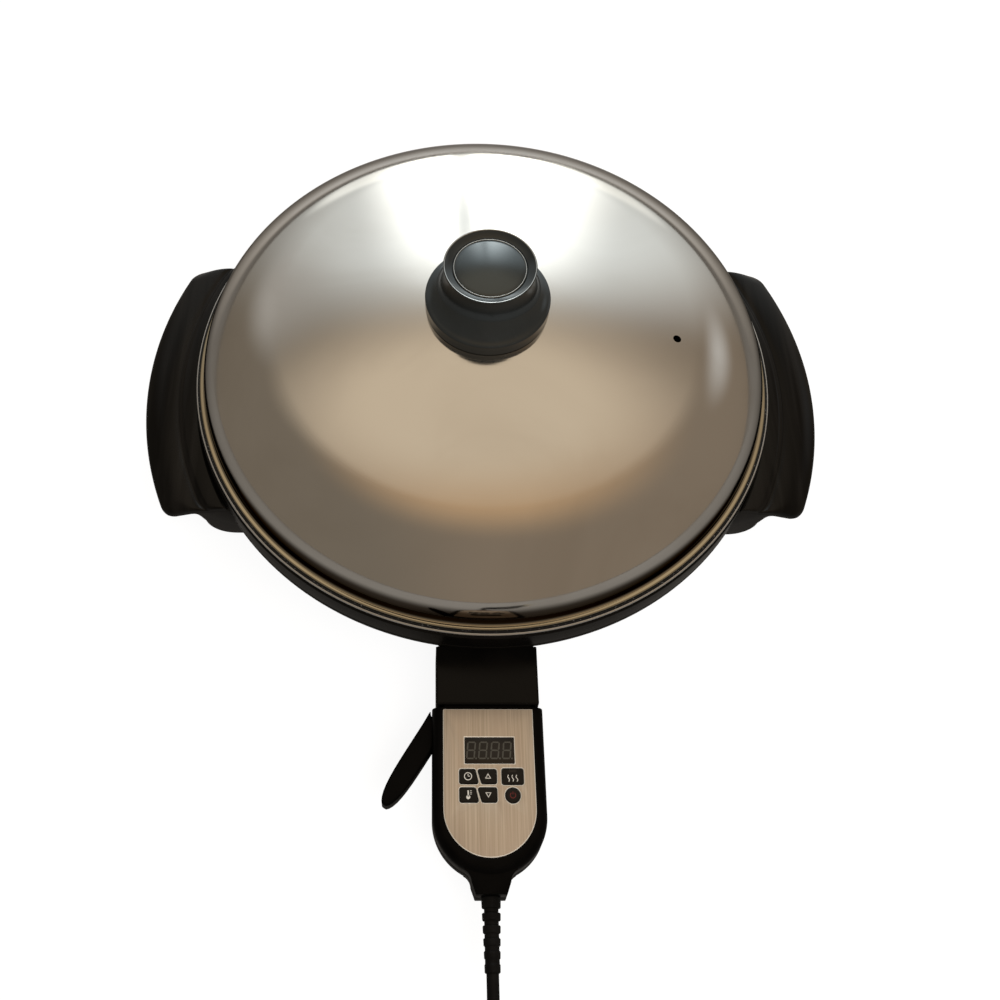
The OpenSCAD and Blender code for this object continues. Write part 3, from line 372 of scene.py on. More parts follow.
strap_black = moulded("strap_black", (0.02, 0.02, 0.021), (0.034, 0.034, 0.035), 400, 3000, (0.75, 0.9), 0.8)
pin_brass = moulded("pin_brass", (0.72, 0.58, 0.30), (0.60, 0.47, 0.24), 120, 2500, (0.22, 0.36), 0.1,
                    metal=1.0)
plug = rounded_copy("plug_body", "plug_body_moulding", 2.2)
strap = rounded_copy("cord_tie", "coil_strap", 0.3)
plug_blades = rounded_copy("plug_blades", "plug_flat_pins", 0.35)
plug_earth = rounded_copy("plug_ground_pin", "plug_earth_pin", 0.9)
dress(plug, lead_black, "probe", "cord_black", "plug_body")
dress(strap, strap_black, "probe", "foot_rubber", "cord_tie")
dress(plug_blades, pin_brass, "probe", "brass", "plug_blades")
dress(plug_earth, pin_brass, "probe", "brass", "plug_ground_pin")


# Base shell: one black phenolic moulding with a band round the plate, a leaning wall under it,
# a rim for the bottom cover and a flat pad for the socket.
def turned(name, profile, steps=192, smooth_angle=30.0):
    bm = bmesh.new()
    columns = []
    for r, z in profile:
        if r < 1e-6:
            columns.append([bm.verts.new((0, 0, z * mm))])
        else:
            turns = [2 * math.pi * k / steps for k in range(steps)]
            spots = [(r * mm * math.cos(a), r * mm * math.sin(a), z * mm) for a in turns]
            columns.append([bm.verts.new(spot) for spot in spots])
    for low, high in zip(columns, columns[1:] + columns[:1]):
        if len(low) == 1 and len(high) == 1:
            continue
        for k in range(steps):
            j = (k + 1) % steps
            corners = [low[k % len(low)], low[j % len(low)], high[j % len(high)], high[k % len(high)]]
            bm.faces.new(list(dict.fromkeys(corners)))
    bmesh.ops.recalc_face_normals(bm, faces=bm.faces)
    return object_from(bm, name, smooth_angle)


def arc(centre, r, first, last, count):
    turns = [math.radians(first + (last - first) * i / count) for i in range(count + 1)]
    return [(centre[0] + r * math.cos(a), centre[1] + r * math.sin(a)) for a in turns]


def join(pieces, name):
    bm = bmesh.new()
    for piece in pieces:
        bm.from_mesh(piece.data)
        bpy.data.objects.remove(piece)
    return object_from(bm, name)


def block(name, low, high, width, steps=3):
    bm = bmesh.new()
    bmesh.ops.create_cube(bm, size=1.0)
    for v in bm.verts:
        v.co = Vector([(low[k] if v.co[k] < 0 else high[k]) * mm for k in range(3)])
    bmesh.ops.bevel(bm, geom=list(bm.edges), offset=width * mm, segments=steps, profile=0.5, affect="EDGES")
    return object_from(bm, name)


band_r, band_z, seat_z, base_z = 207.0, 61.5, 82.5, 14.0
shell_profile = (arc((band_r - 1.2, seat_z - 1.2), 1.2, 90, 0, 5) + [(band_r, 67.0)]
                 + arc((band_r + 0.4, 66.0), 0.8, 120, 240, 5) + [(band_r, 65.0), (band_r, 63.4)]
                 + arc((band_r - 1.6, band_z + 1.6), 1.6, 0, -90, 5)
                 + [(198.5, band_z), (197.5, band_z - 0.6), (186.6, 15.0), (185.8, base_z), (170.0, base_z),
                    (170.0, 17.0), (183.7, 17.0), (194.5, band_z), (194.5, seat_z)])
shell_parts = [turned("shell_turned", shell_profile)]
pad_front, pad_back, pad_side, pad_in, pad_top, pad_round = -199.0, -182.0, 31.5, 22.0, 45.0, 0.5
pad_walls = ((-pad_side, base_z, -pad_in, pad_top), (pad_in, base_z, pad_side, pad_top),
             (-pad_in, 38.0, pad_in, pad_top), (-pad_in, base_z, pad_in, 20.0))
for low_x, low_z, high_x, high_z in pad_walls:
    shell_parts.append(block("pad", (low_x, pad_front, low_z), (high_x, pad_back, high_z), pad_round))
base_shell = join(shell_parts, "base_moulding")
phenolic = moulded("black_phenolic", (0.0020, 0.0018, 0.0015), (0.0036, 0.0031, 0.0026), 22, 1400, (0.20, 0.32),
                   0.06, specular=0.13)
dress(base_shell, phenolic, "base", "black_resin", "base_shell")


# Bottom: a galvanised steel cover with a ring of vent slots, screwed to the base's rim,
# and four rubber feet with their screws sunk into them.
def paint(node, material):
    nodes[node].data.materials.clear()
    nodes[node].data.materials.append(material)


galvanised = moulded("galvanised_steel", (0.50, 0.51, 0.52), (0.40, 0.41, 0.43), 55, 900, (0.38, 0.55), 0.1,
                     metal=1.0)
foot_rubber = moulded("foot_rubber", (0.018, 0.018, 0.018), (0.03, 0.029, 0.028), 90, 1200, (0.7, 0.85), 0.3)
paint("bottom_cover", galvanised)
feet = rounded_copy("rubber_feet", "rubber_foot_set", 0.7)
dress(feet, foot_rubber, "base", "foot_rubber", "rubber_feet")

# Screws: plated steel, with a domed head and a cross in each head. One recipe sets them out at the
# places that each job needs, with its own head and shank.
screw_steel = moulded("plated_screw_steel", (0.56, 0.56, 0.56), (0.46, 0.46, 0.47), 300, 3000, (0.25, 0.4), 0.1,
                      metal=1.0)


def screw_form(shank_r, head_r, head_h, length):
    profile = [(0.0, -0.55 * head_h), (0.16 * head_r, -0.55 * head_h), (0.30 * head_r, -head_h),
               (0.62 * head_r, -0.94 * head_h), (0.88 * head_r, -0.7 * head_h), (head_r, -0.35 * head_h),
               (head_r, 0.0), (shank_r, 0.0), (shank_r, length - 0.4 * shank_r), (0.6 * shank_r, length),
               (0.0, length)]
    form = turned("screw_form", profile, 20)
    arm, half, top, floor = 0.5 * head_r, 0.12 * head_r, -head_h - 0.03, -0.9 * head_h
    slots = [block("slot_a", (-arm, -half, top), (arm, half, floor), 0.02, 1),
             block("slot_b", (-half, -arm, top), (half, arm, floor), 0.02, 1)]
    return join([form] + slots, "screw_form")


def set_out_tree():
    tree = bpy.data.node_groups.new("set_out_at_points", "GeometryNodeTree")
    for name, kind in (("Geometry", "Geometry"), ("Form", "Object"), ("Turn", "Rotation"),
                       ("Finish", "Material")):
        tree.interface.new_socket(name, in_out="INPUT", socket_type="NodeSocket" + kind)
    tree.interface.new_socket("Geometry", in_out="OUTPUT", socket_type="NodeSocketGeometry")
    given = tree.nodes.new("NodeGroupInput").outputs
    form = add_node(tree, "GeometryNodeObjectInfo", {"Object": given["Form"]}).outputs["Geometry"]
    spots = add_node(tree, "GeometryNodeMeshToPoints", {"Mesh": given["Geometry"]}).outputs["Points"]
    places = {"Points": spots, "Instance": form, "Rotation": given["Turn"]}
    copies = add_node(tree, "GeometryNodeInstanceOnPoints", places).outputs["Instances"]
    real = add_node(tree, "GeometryNodeRealizeInstances", {"Geometry": copies}).outputs["Geometry"]
    painted = add_node(tree, "GeometryNodeSetMaterial", {"Geometry": real, "Material": given["Finish"]})
    add_node(tree, "NodeGroupOutput", {"Geometry": painted.outputs["Geometry"]})
    return tree


set_out = set_out_tree()


def set_out_forms(name, form, places, turn, material):
    spots = bpy.data.meshes.new(name)
    spots.from_pydata([Vector(p) * mm for p in places], [], [])
    piece = bpy.data.objects.new(name, spots)
    scene.collection.objects.link(piece)
    modifier = piece.modifiers.new("set_out", "NODES")
    modifier.node_group = set_out
    sockets = {s.name: s.identifier for s in set_out.interface.items_tree if s.in_out == "INPUT"}
    modifier[sockets["Form"]] = form
    modifier[sockets["Turn"]] = turn
    modifier[sockets["Finish"]] = material
    ready = piece.evaluated_get(bpy.context.evaluated_depsgraph_get())
    made = bpy.data.meshes.new_from_object(ready)
    piece.modifiers.clear()
    piece.data = made
    made.set_sharp_from_angle(angle=math.radians(34))
    bpy.data.objects.remove(form)
    return piece


def round_places(angles, r, z):
    return [(r * math.cos(math.radians(a)), r * math.sin(math.radians(a)), z) for a in angles]


rim_r, handle_screw_r, bolt_r, board_z = 178.0, 202.0, 184.5, 34.6
head_down, head_front, head_up = (0, 0, 0), (-math.pi / 2, 0, 0), (math.pi, 0, 0)
screw_jobs = [
    ("cover_screws", round_places((0, 70, 110, 180, 250, 290), rim_r, 12.8),
     (1.5, 2.8, 2.2, 5.2), head_down, "base"),
    ("foot_screws", round_places((38, 142, 218, 322), rim_r, 5.0), (2.0, 3.8, 3.0, 13.0), head_down, "base"),
    ("handle_screws", round_places((-19, 19, 161, 199), handle_screw_r, 49.5),
     (2.0, 3.8, 3.0, 24.0), head_down, "base"),
    ("plate_bolts", round_places((45, 135, 225, 315), bolt_r, 71.0), (2.0, 3.8, 3.0, 10.2), head_down, "base"),
    ("hood_screws", [(-27, -201.5, 29), (27, -201.5, 29)], (1.5, 2.8, 2.2, 10.5), head_front, "base"),
    ("case_screws", [(29.2, -250, 17), (29.2, -302, 17), (-29.2, -302, 17)],
     (1.5, 2.8, 2.2, 19.0), head_down, "probe"),
    ("board_screws", [(x, y, board_z) for y in (-255, -312) for x in (-17, 20)],
     (1.2, 2.2, 1.4, 6.6), head_up, "probe"),
]
for node, places, sizes, turn, body in screw_jobs:
    screws = set_out_forms(node + "_set", screw_form(*sizes), places, turn, screw_steel)
    dress(screws, screw_steel, body, "plain_metal", node)


# Handles: two black phenolic wings, screwed up into the band from below. Each has two long
# swellings along its top, a round outer edge, an arch for the fingers and a swept root.
def skin(bm, rings):
    count = len(rings[0])
    for first, second in zip(rings, rings[1:]):
        for i in range(count):
            k = (i + 1) % count
            bm.faces.new((first[i], first[k], second[k], second[i]))
    bm.faces.new(list(reversed(rings[0])))
    bm.faces.new(rings[-1])


def round_off(r, past):
    return r - math.sqrt(max(0.0, r ** 2 - past ** 2))


def wing_handle(name, side):
    nose_c, arch_c, sweep_c = (244.6, 53.4), (233.0, 46.3), (205.3, 41.8)
    inner_swell = (210, 212, 214, 216, 218, 219.6)
    outer_swell = (227, 229, 231, 233, 235.5, 238, 240.5, 243, 244.8)
    outline = [(207.5, 61.6), (207.5, 63.2), (207.9, 64.1), (208.8, 64.5)]
    outline += [(r, 64.6 - 0.07 * (r - 209.0) - 0.0105 * (r - 211.0) ** 2) for r in inner_swell]
    outline += [(220.8, 62.2), (221.8, 61.3), (222.8, 60.9), (223.9, 61.05), (225.0, 61.35)]
    outline += [(r, 61.4 - 0.0140 * (r - 226.5) ** 2) for r in outer_swell]
    outline += arc(nose_c, 3.0, 62, -115, 14) + arc(arch_c, 8.5, 75, 165, 12) + arc(sweep_c, 17.0, 0, -90, 12)
    outline += [(196.0, 24.8), (189.9, 24.8), (189.1, 25.5), (198.0, 61.0), (198.6, 61.5), (206.5, 61.5)]
    half, rows, end_r, end_share, low_corner, more_corner = 106.5, 96, 1.6, 0.6, 4.0, 6.0
    bm = bmesh.new()
    columns = []
    for j in range(rows + 1):
        y = -half * math.cos(math.pi * j / rows)
        shrink = end_share * round_off(end_r, max(0.0, abs(y) - (half - end_r)))
        ring = []
        for i, (r, z) in enumerate(outline):
            corner = low_corner + more_corner * ramp(z, 51.0, 57.0)
            draw_in = round_off(corner, max(0.0, abs(y) - (half - corner))) * ramp(r, 212.0, 244.0)
            before, after = Vector(outline[i - 1]), Vector(outline[(i + 1) % len(outline)])
            along = (after - before).normalized()
            inner = Vector((along.y, -along.x))
            r_now = r - draw_in + inner.x * shrink
            z_now = z + inner.y * shrink
            ring.append(bm.verts.new((side * math.sqrt(r_now ** 2 - y ** 2) * mm, y * mm, z_now * mm)))
        columns.append(ring)
    skin(bm, columns)
    bmesh.ops.recalc_face_normals(bm, faces=bm.faces)
    return object_from(bm, name, 40.0)


# The moulding's tone varies at random, and its lighter patches are stretched along the handle into painted
# highlight streaks.
handle_gloss = moulded("handle_phenolic", (0.0016, 0.0014, 0.0012), (0.0070, 0.0061, 0.0052), 90, 1100,
                       (0.09, 0.22), 0.05, specular=0.20, stretch=(1, 0.05, 1))
dress(wing_handle("left_wing_handle", -1), handle_gloss, "base", "black_resin", "left_handle")
dress(wing_handle("right_wing_handle", 1), handle_gloss, "base", "black_resin", "right_handle")


# Plate: cast aluminium with a dark speckled release coat. The corner of its rim is turned bare
# and bright, and shows as the thin line between the lid's flange and the band.
def axis_reach(tree, place):
    return reach_from(tree, place, (0, 0, 0), (1, 1, any_way))


def plate_material():
    coat_dark, coat_fleck, bare_metal = (0.010, 0.0095, 0.009, 1), (0.16, 0.155, 0.15, 1), (0.80, 0.80, 0.78, 1)
    material, tree, shader = new_material("coated_plate")
    place = tree.nodes.new("ShaderNodeTexCoord").outputs["Object"]
    height = add_node(tree, "ShaderNodeSeparateXYZ", {0: place}).outputs["Z"]
    bare = product(tree, smooth_step(tree, axis_reach(tree, place), 0.2050, 0.2053),
                   smooth_step(tree, height, 0.0845, 0.0848))
    flecks = noise(tree, place, 900.0)
    coat = mix_colours(tree, smooth_step(tree, flecks, 0.64, 0.70), coat_dark, coat_fleck)
    feed(tree, shader, {"Base Color": mix_colours(tree, bare, coat, bare_metal), "Metallic": bare,
                        "Roughness": 0.32, "Specular IOR Level": 0.12, "Normal": bump_from(tree, flecks, 0.15)})
    return material


plate_r, plate_top = 206.0, 85.5
plate_under, plate_step_r, top_round, low_round = 78.0, 193.5, 0.9, 0.6
plate_profile = [(0.0, plate_top), (plate_r - 1.2, plate_top)]
plate_profile += arc((plate_r - top_round, plate_top - top_round), top_round, 90, 0, 4)
plate_profile += arc((plate_r - low_round, seat_z + low_round), low_round, 0, -90, 4)
plate_profile += [(plate_step_r, seat_z), (plate_step_r, plate_under + 0.4), (plate_step_r - 0.5, plate_under),
                  (0.0, plate_under)]
dress(turned("griddle_plate", plate_profile), plate_material(), "base", "coated_plate", "cooking_plate")

# Heater: a sheathed ring under the plate, with clamps, a bright heat shield on posts, and legs
# that run to the terminal pins in a ceramic block. A cast post carries the probe's sensor well.
sheath_steel = moulded("element_sheath", (0.15, 0.14, 0.13), (0.26, 0.22, 0.18), 60, 1500, (0.4, 0.6), 0.2,
                       metal=1.0)
bright_aluminium = moulded("bare_aluminium", (0.78, 0.78, 0.79), (0.70, 0.70, 0.72), 40, 1200, (0.25, 0.42),
                           0.08, metal=1.0)
ceramic = moulded("ceramic_block", (0.78, 0.74, 0.66), (0.84, 0.81, 0.74), 80, 1600, (0.55, 0.7), 0.2)
plain_steel = moulded("plain_steel", (0.55, 0.55, 0.55), (0.47, 0.47, 0.48), 150, 2200, (0.3, 0.45), 0.1,
                      metal=1.0)
for node, finish in (("heating_element", sheath_steel), ("element_clamps", galvanised),
                     ("heat_shield", bright_aluminium), ("shield_posts", plain_steel),
                     ("terminal_block", ceramic), ("terminal_pins", plain_steel),
                     ("sensor_well", bright_aluminium)):
    paint(node, finish)

# Socket hood: a black phenolic guard, screwed to the base's pad, that the probe plugs into.
# Its mouth and corners are well rounded.
hood = rounded_copy("socket_hood", "socket_guard", 1.6, 4, where=lambda p: p.y < -203.5)
dress(hood, phenolic, "base", "black_resin", "socket_hood")


# Lid: a spun and polished stainless dome with a small out-turned flange that sits on the plate,
# and a steam vent punched through its right side. Fine turning marks run round it.
def lid_material():
    sheet_clean, sheet_smeared = (0.80, 0.775, 0.735, 1), (0.74, 0.71, 0.665, 1)
    foot_painted_shade, flange_painted_reflection = (0.11, 0.092, 0.075, 1), (0.52, 0.46, 0.34, 1)
    material, tree, shader = new_material("polished_stainless")
    place = tree.nodes.new("ShaderNodeTexCoord").outputs["Object"]
    reach = axis_reach(tree, place)
    turning = {"W": reach, "Scale": 900.0, "Detail": 4.0}
    rings = add_node(tree, "ShaderNodeTexNoise", turning, noise_dimensions="1D").outputs["Fac"]
    smear = smooth_step(tree, noise(tree, place, 9.0, 6.0, 0.8), 0.38, 0.72)
    sheet = mix_colours(tree, smear, sheet_clean, sheet_smeared)
    # Painted shade: a dark ring is painted round the dome's foot. Painted reflection: the flange is painted a
    # warm gold.
    foot = mix_colours(tree, smooth_step(tree, reach, 0.1962, 0.1985), sheet, foot_painted_shade)
    colour = mix_colours(tree, smooth_step(tree, reach, 0.1997, 0.2003), foot, flange_painted_reflection)
    feed(tree, shader, {"Base Color": colour, "Roughness": between(tree, smear, 0.09, 0.15), "Metallic": 1.0,
                        "Specular Tint": (0.22, 0.21, 0.20, 1.0), "Normal": bump_from(tree, rings, 0.035)})
    return material


lid_z, flange_r, dome_r, lid_t = 85.6, 203.3, 199.4, 1.0
foot_arc, side_arc, foot_turn, side_turn = 32.0, 105.0, 45.0, 75.3
foot_c = (dome_r - foot_arc, lid_z + 6.6)
side_c = (foot_c[0] - (side_arc - foot_arc) * math.cos(math.radians(foot_turn)),
          foot_c[1] - (side_arc - foot_arc) * math.sin(math.radians(foot_turn)))
crown_arc = side_c[0] / math.cos(math.radians(side_turn)) + side_arc
crown_c = (0.0, side_c[1] + (side_arc - crown_arc) * math.sin(math.radians(side_turn)))
apex = crown_c[1] + crown_arc


def dome_line(depth):
    foot = arc(foot_c, foot_arc - depth, 0, foot_turn, 24)
    side = arc(side_c, side_arc - depth, foot_turn + 1.2, side_turn, 28)
    crown = arc(crown_c, crown_arc - depth, side_turn + 0.4, 89.6, 30)
    return foot + side + crown + [(0.0, crown_c[1] + crown_arc - depth)]


bead_r, crease_r = 1.0, 2.0
lid_profile = [(dome_r + 1.2, lid_z + 0.35), (flange_r - 2.2, lid_z + 0.05)]
lid_profile += arc((flange_r - bead_r, lid_z + bead_r), bead_r, -110, 82, 12)
lid_profile += arc((dome_r + crease_r, lid_z + 3.75), crease_r, 262, 184, 8)
lid_profile += dome_line(0.0) + list(reversed(dome_line(lid_t)))
lid_profile += [(dome_r - lid_t + 0.1, lid_z + 2.6), (dome_r + 0.2, lid_z + 1.0)]
lid = turned("lid_dome_sheet", lid_profile, 360)
vent_reach, vent_turn, vent_r, punch_low, punch_high = 130.0, math.radians(-8), 2.8, 130.0, 165.0
vent_x, vent_y = vent_reach * math.cos(vent_turn), vent_reach * math.sin(vent_turn)
punch_profile = [(0.0, punch_low), (vent_r, punch_low), (vent_r, punch_high), (0.0, punch_high)]
punch = turned("vent_punch", punch_profile, 48)
punch.data.transform(Matrix.Translation((vent_x * mm, vent_y * mm, 0)))
cut = lid.modifiers.new("vent", "BOOLEAN")
cut.operation = "DIFFERENCE"
cut.solver = "EXACT"
cut.object = punch
lid_cut = bpy.data.meshes.new_from_object(lid.evaluated_get(bpy.context.evaluated_depsgraph_get()))
lid.modifiers.clear()
lid.data = lid_cut
lid_cut.set_sharp_from_angle(angle=math.radians(30))
bpy.data.objects.remove(punch)
dress(lid, lid_material(), "lid", "polished_steel", "lid_dome")

# Knob: a bell of glossy charcoal resin with a straight foot under its skirt, a dished cap whose lip carries
# a painted highlight line, and a domed disc set into it with a painted highlight ring near its edge. A brass
# insert takes the screw from under the lid.
knob_h, skirt_r, cap_r, disc_r, cap_dish, hole_r = 40.2, 42.0, 30.5, 24.3, 2.8, 4.25
knob_top, skirt_z, waist_r, bell_x = apex + knob_h, apex + 5.5, cap_r - 4.5, skirt_r + 3.9
dish_z, waist_z, foot_r, hole_z = knob_top - cap_dish, knob_top - 5.8, skirt_r - 0.15, apex + 16.0
disc_z = dish_z - 1.2
foot_z, foot_edge_z = [crown_c[1] + math.sqrt(crown_arc ** 2 - q ** 2) + 0.1 for q in (foot_r - 3.0, foot_r)]
bell_r = bell_x - waist_r
bell_turn = math.acos((bell_x - skirt_r) / bell_r)
bell_h = (waist_z - skirt_z - 2.2) / math.sin(bell_turn)
bell = [(bell_x - bell_r * math.cos(bell_turn * k / 40), waist_z - bell_h * math.sin(bell_turn * k / 40))
        for k in range(38, -1, -1)]
knob_foot = [(hole_r, apex + 0.05), (9.0, apex + 0.05), (9.0, apex + 3.0), (foot_r - 6.0, apex + 3.0),
             (foot_r - 3.0, foot_z), (foot_r - 0.5, foot_edge_z), (foot_r, foot_edge_z + 0.5),
             (foot_r, skirt_z + 0.6)]
knob_skirt = arc((skirt_r - 0.8, skirt_z + 1.4), 0.8, 0, 66, 5)
knob_neck = [(waist_r + 0.25, waist_z + 0.6), (waist_r + 1.0, waist_z + 1.3), (waist_r + 2.4, knob_top - 3.8),
             (cap_r - 1.0, knob_top - 2.0)]
knob_lip = arc((cap_r - 0.7, knob_top - 1.1), 0.7, -30, 0, 3)
knob_lip += arc((cap_r - 0.6, knob_top - 0.6), 0.6, 0, 110, 8)
knob_dish = [(cap_r - 1.3, knob_top - 0.35), (disc_r + 1.0, dish_z + 0.1), (disc_r + 0.6, dish_z),
             (disc_r + 0.3, dish_z - 0.3), (disc_r + 0.3, disc_z), (0.0, disc_z), (0.0, hole_z),
             (hole_r, hole_z)]
knob_profile = knob_foot + knob_skirt + bell + knob_neck + knob_lip + knob_dish


def resin_with_painted_highlight(name, colour, patch, highlight_r, highlight_w, highlight_low, roughness, specular):
    material = moulded(name, colour, patch, 26, 1700, roughness, 0.05, specular=specular)
    tree = material.node_tree
    shader = tree.nodes["Principled BSDF"]
    resin = shader.inputs["Base Color"].links[0].from_socket
    place = tree.nodes.new("ShaderNodeTexCoord").outputs["Object"]
    height = add_node(tree, "ShaderNodeSeparateXYZ", {0: place}).outputs["Z"]
    reach = axis_reach(tree, place)
    inside = smooth_step(tree, reach, (highlight_r - 0.6 * highlight_w) * mm, (highlight_r - 0.4 * highlight_w) * mm)
    outside = smooth_step(tree, reach, (highlight_r + 0.6 * highlight_w) * mm, (highlight_r + 0.4 * highlight_w) * mm)
    above = smooth_step(tree, height, (highlight_low - 0.05) * mm, (highlight_low + 0.05) * mm)
    # Painted highlight: a thin bright metallic ring is painted into the resin at this radius.
    line = product(tree, product(tree, inside, outside), above)
    feed(tree, shader, {"Base Color": mix_colours(tree, line, resin, (0.62, 0.64, 0.64, 1)), "Metallic": line,
                        "Specular Tint": (0.89, 1.0, 1.05, 1.0)})
    return material


bell_resin = resin_with_painted_highlight("charcoal_resin", (0.0115, 0.0132, 0.0140), (0.0155, 0.0178, 0.0188), cap_r - 0.75,
                         0.4, knob_top - 0.5, (0.09, 0.15), 0.8)
dress(turned("knob_bell", knob_profile), bell_resin, "lid", "charcoal_resin", "knob_body")
disc_edge, disc_crown, disc_steps = dish_z - 0.25, 3.8, (0, 3, 6, 9, 12, 15, 18, 20.5, 22.4)
disc_profile = [(q, disc_edge + disc_crown * (1 - (q / disc_r) ** 2)) for q in disc_steps]
disc_profile += [(disc_r - 1.2, disc_edge + 0.22)] + arc((disc_r - 0.75, disc_edge + 0.18), 0.35, 150, 0, 6)
disc_under = disc_z + 0.02
disc_profile += [(disc_r - 0.2, disc_edge), (disc_r, disc_edge - 0.2), (disc_r, disc_under), (0.0, disc_under)]
disc_resin = resin_with_painted_highlight("charcoal_disc", (0.006, 0.0085, 0.0095), (0.008, 0.011, 0.012), disc_r - 0.75, 0.5,
                         disc_z, (0.19, 0.25), 1.0)
disc_resin.node_tree.nodes["Principled BSDF"].inputs["IOR"].default_value = 1.56
dress(turned("knob_cap_disc", disc_profile), disc_resin, "lid", "charcoal_resin", "knob_disc")
brass = moulded("insert_brass", (0.68, 0.52, 0.24), (0.58, 0.43, 0.19), 120, 2200, (0.28, 0.42), 0.1, metal=1.0)
for node, finish in (("knob_insert", brass), ("knob_screw", plain_steel), ("knob_washer", plain_steel)):
    paint(node, finish)

# Probe case: two black plastic halves with a fine moulded texture, screwed together from below,
# and a resin nose that carries the contact sleeves and the sensor rod into the socket.
case_black = moulded("probe_case_black", (0.0012, 0.0011, 0.0010), (0.0022, 0.0019, 0.0017), 45, 2400,
                     (0.30, 0.42), 0.12, specular=0.05)
for node, name, width, steps, finish, slot in (
        ("probe_upper_case", "probe_upper_moulding", 0.35, 2, case_black, "black_case"),
        ("probe_lower_case", "probe_lower_moulding", 0.35, 2, case_black, "black_case"),
        ("probe_nose", "probe_nose_moulding", 0.8, 3, phenolic, "black_resin")):
    dress(rounded_copy(node, name, width, steps), finish, "probe", slot, node)
board_green = moulded("board_green", (0.030, 0.14, 0.065), (0.022, 0.10, 0.05), 180, 1800, (0.3, 0.45), 0.1)
part_dark = moulded("part_dark", (0.02, 0.02, 0.022), (0.03, 0.03, 0.032), 150, 1800, (0.4, 0.55), 0.1)
part_blue = moulded("part_blue", (0.03, 0.07, 0.20), (0.024, 0.058, 0.17), 150, 1800, (0.35, 0.5), 0.1)
for node, finish in (("contact_sleeves", brass), ("sensor_rod", plain_steel), ("circuit_board", board_green),
                     ("wire_terminal", board_green), ("display_module", part_dark), ("key_switches", part_dark),
                     ("transformer", part_dark), ("relay", part_blue), ("lead_wires", part_blue),
                     ("lever_pin", plain_steel), ("lever_spring", plain_steel)):
    paint(node, finish)


# Faceplate: thin champagne-coloured metal, brushed from front to back, let into the upper case.
# Its cut edge shows as a fine bright line.
def brushed_material():
    hair_dark, hair_light, band_tone = (0.44, 0.35, 0.26, 1), (0.60, 0.50, 0.39, 1), (0.50, 0.40, 0.305, 1)
    cut_bright = (0.95, 0.90, 0.80, 1)
    material, tree, shader = new_material("brushed_champagne")
    place = tree.nodes.new("ShaderNodeTexCoord").outputs["Object"]
    hair_way = add_node(tree, "ShaderNodeMapping", {"Vector": place, "Scale": (1500.0, 14.0, 14.0)})
    band_way = add_node(tree, "ShaderNodeMapping", {"Vector": place, "Scale": (260.0, 5.0, 5.0)})
    hairs = noise(tree, hair_way.outputs["Vector"], 1.0, 5.0)
    bands = noise(tree, band_way.outputs["Vector"], 1.0, 3.0)
    fine = mix_colours(tree, smooth_step(tree, hairs, 0.3, 0.7), hair_dark, hair_light)
    face = mix_colours(tree, smooth_step(tree, bands, 0.42, 0.72), fine, band_tone)
    cut = add_node(tree, "ShaderNodeAttribute", {}, attribute_name="cut_edge").outputs["Fac"]
    feed(tree, shader, {"Base Color": mix_colours(tree, cut, face, cut_bright), "Metallic": 0.55,
                        "Roughness": between(tree, hairs, 0.34, 0.48),
                        "Normal": bump_from(tree, hairs, 0.12, 0.0001)})
    return material


faceplate = rounded_copy("faceplate", "brushed_faceplate", 0.5, 2)
cut_edge = faceplate.data.attributes.new("cut_edge", "FLOAT", "FACE")
for facet in faceplate.data.polygons:
    cut_edge.data[facet.index].value = 1.0 if facet.normal.z < 0.98 else 0.0
dress(faceplate, brushed_material(), "probe", "brushed_face", "faceplate")


# Display: a dark tinted window let into the faceplate, with four unlit seven-bar figures
# and their points showing grey behind it.
def flat_marks(name, outlines, z, thickness):
    bm = bmesh.new()
    for outline in outlines:
        levels = (z, z + thickness)
        skin(bm, [[bm.verts.new((x * mm, y * mm, level * mm)) for x, y in outline] for level in levels])
    bmesh.ops.recalc_face_normals(bm, faces=bm.faces)
    return object_from(bm, name)


def bar(p, q, width):
    a, b = Vector(p), Vector(q)
    along = (b - a).normalized() * width / 2
    across = Vector((-along.y, along.x))
    corners = (a, a + along + across, b - along + across, b, b - along - across, a + along - across)
    return [tuple(corner) for corner in corners]


probe_front, figure_z, figure_t = -239.0, 43.71, 0.03
window_x, window_y = 0.5, probe_front - 28.0
window_glass = moulded("tinted_window", (0.008, 0.0060, 0.0046), (0.011, 0.0083, 0.0063), 60, 1500, (0.12, 0.2),
                       0.02, specular=0.35)
unlit_grey = moulded("unlit_bars", (0.048, 0.045, 0.037), (0.058, 0.054, 0.045), 300, 2000, (0.3, 0.4), 0.05)
window = rounded_copy("display_window", "tinted_display_window", 0.15, 2)
dress(window, window_glass, "probe", "display_dark", "display_window")
figure_marks = []
figure_w, figure_h, bar_w, bar_gap, slant, figure_step, first_figure = 4.7, 10.2, 0.95, 0.12, 0.10, 7.6, 11.7
point_r, point_gap, point_sides = 0.6, 1.25, 14
left, right, top, low = -figure_w / 2, figure_w / 2, figure_h / 2, -figure_h / 2
bar_ends = [((left, level), (right, level)) for level in (top, 0, low)]
bar_ends += [((x, start), (x, start + top)) for start in (0, low) for x in (left, right)]
for n in range(4):
    x0, y0 = window_x - first_figure + figure_step * n, window_y
    for p, q in bar_ends:
        shift = (Vector(q) - Vector(p)).normalized() * bar_gap
        shape = bar(Vector(p) + shift, Vector(q) - shift, bar_w)
        figure_marks.append([(x0 + x + slant * y, y0 + y) for x, y in shape])
    point_c = (x0 + right + point_gap + slant * low, y0 + low)
    figure_marks.append(arc(point_c, point_r, 0, 360 - 360 / point_sides, point_sides - 1))
figures = flat_marks("unlit_figures", figure_marks, figure_z, figure_t)
dress(figures, unlit_grey, "probe", "display_dark")


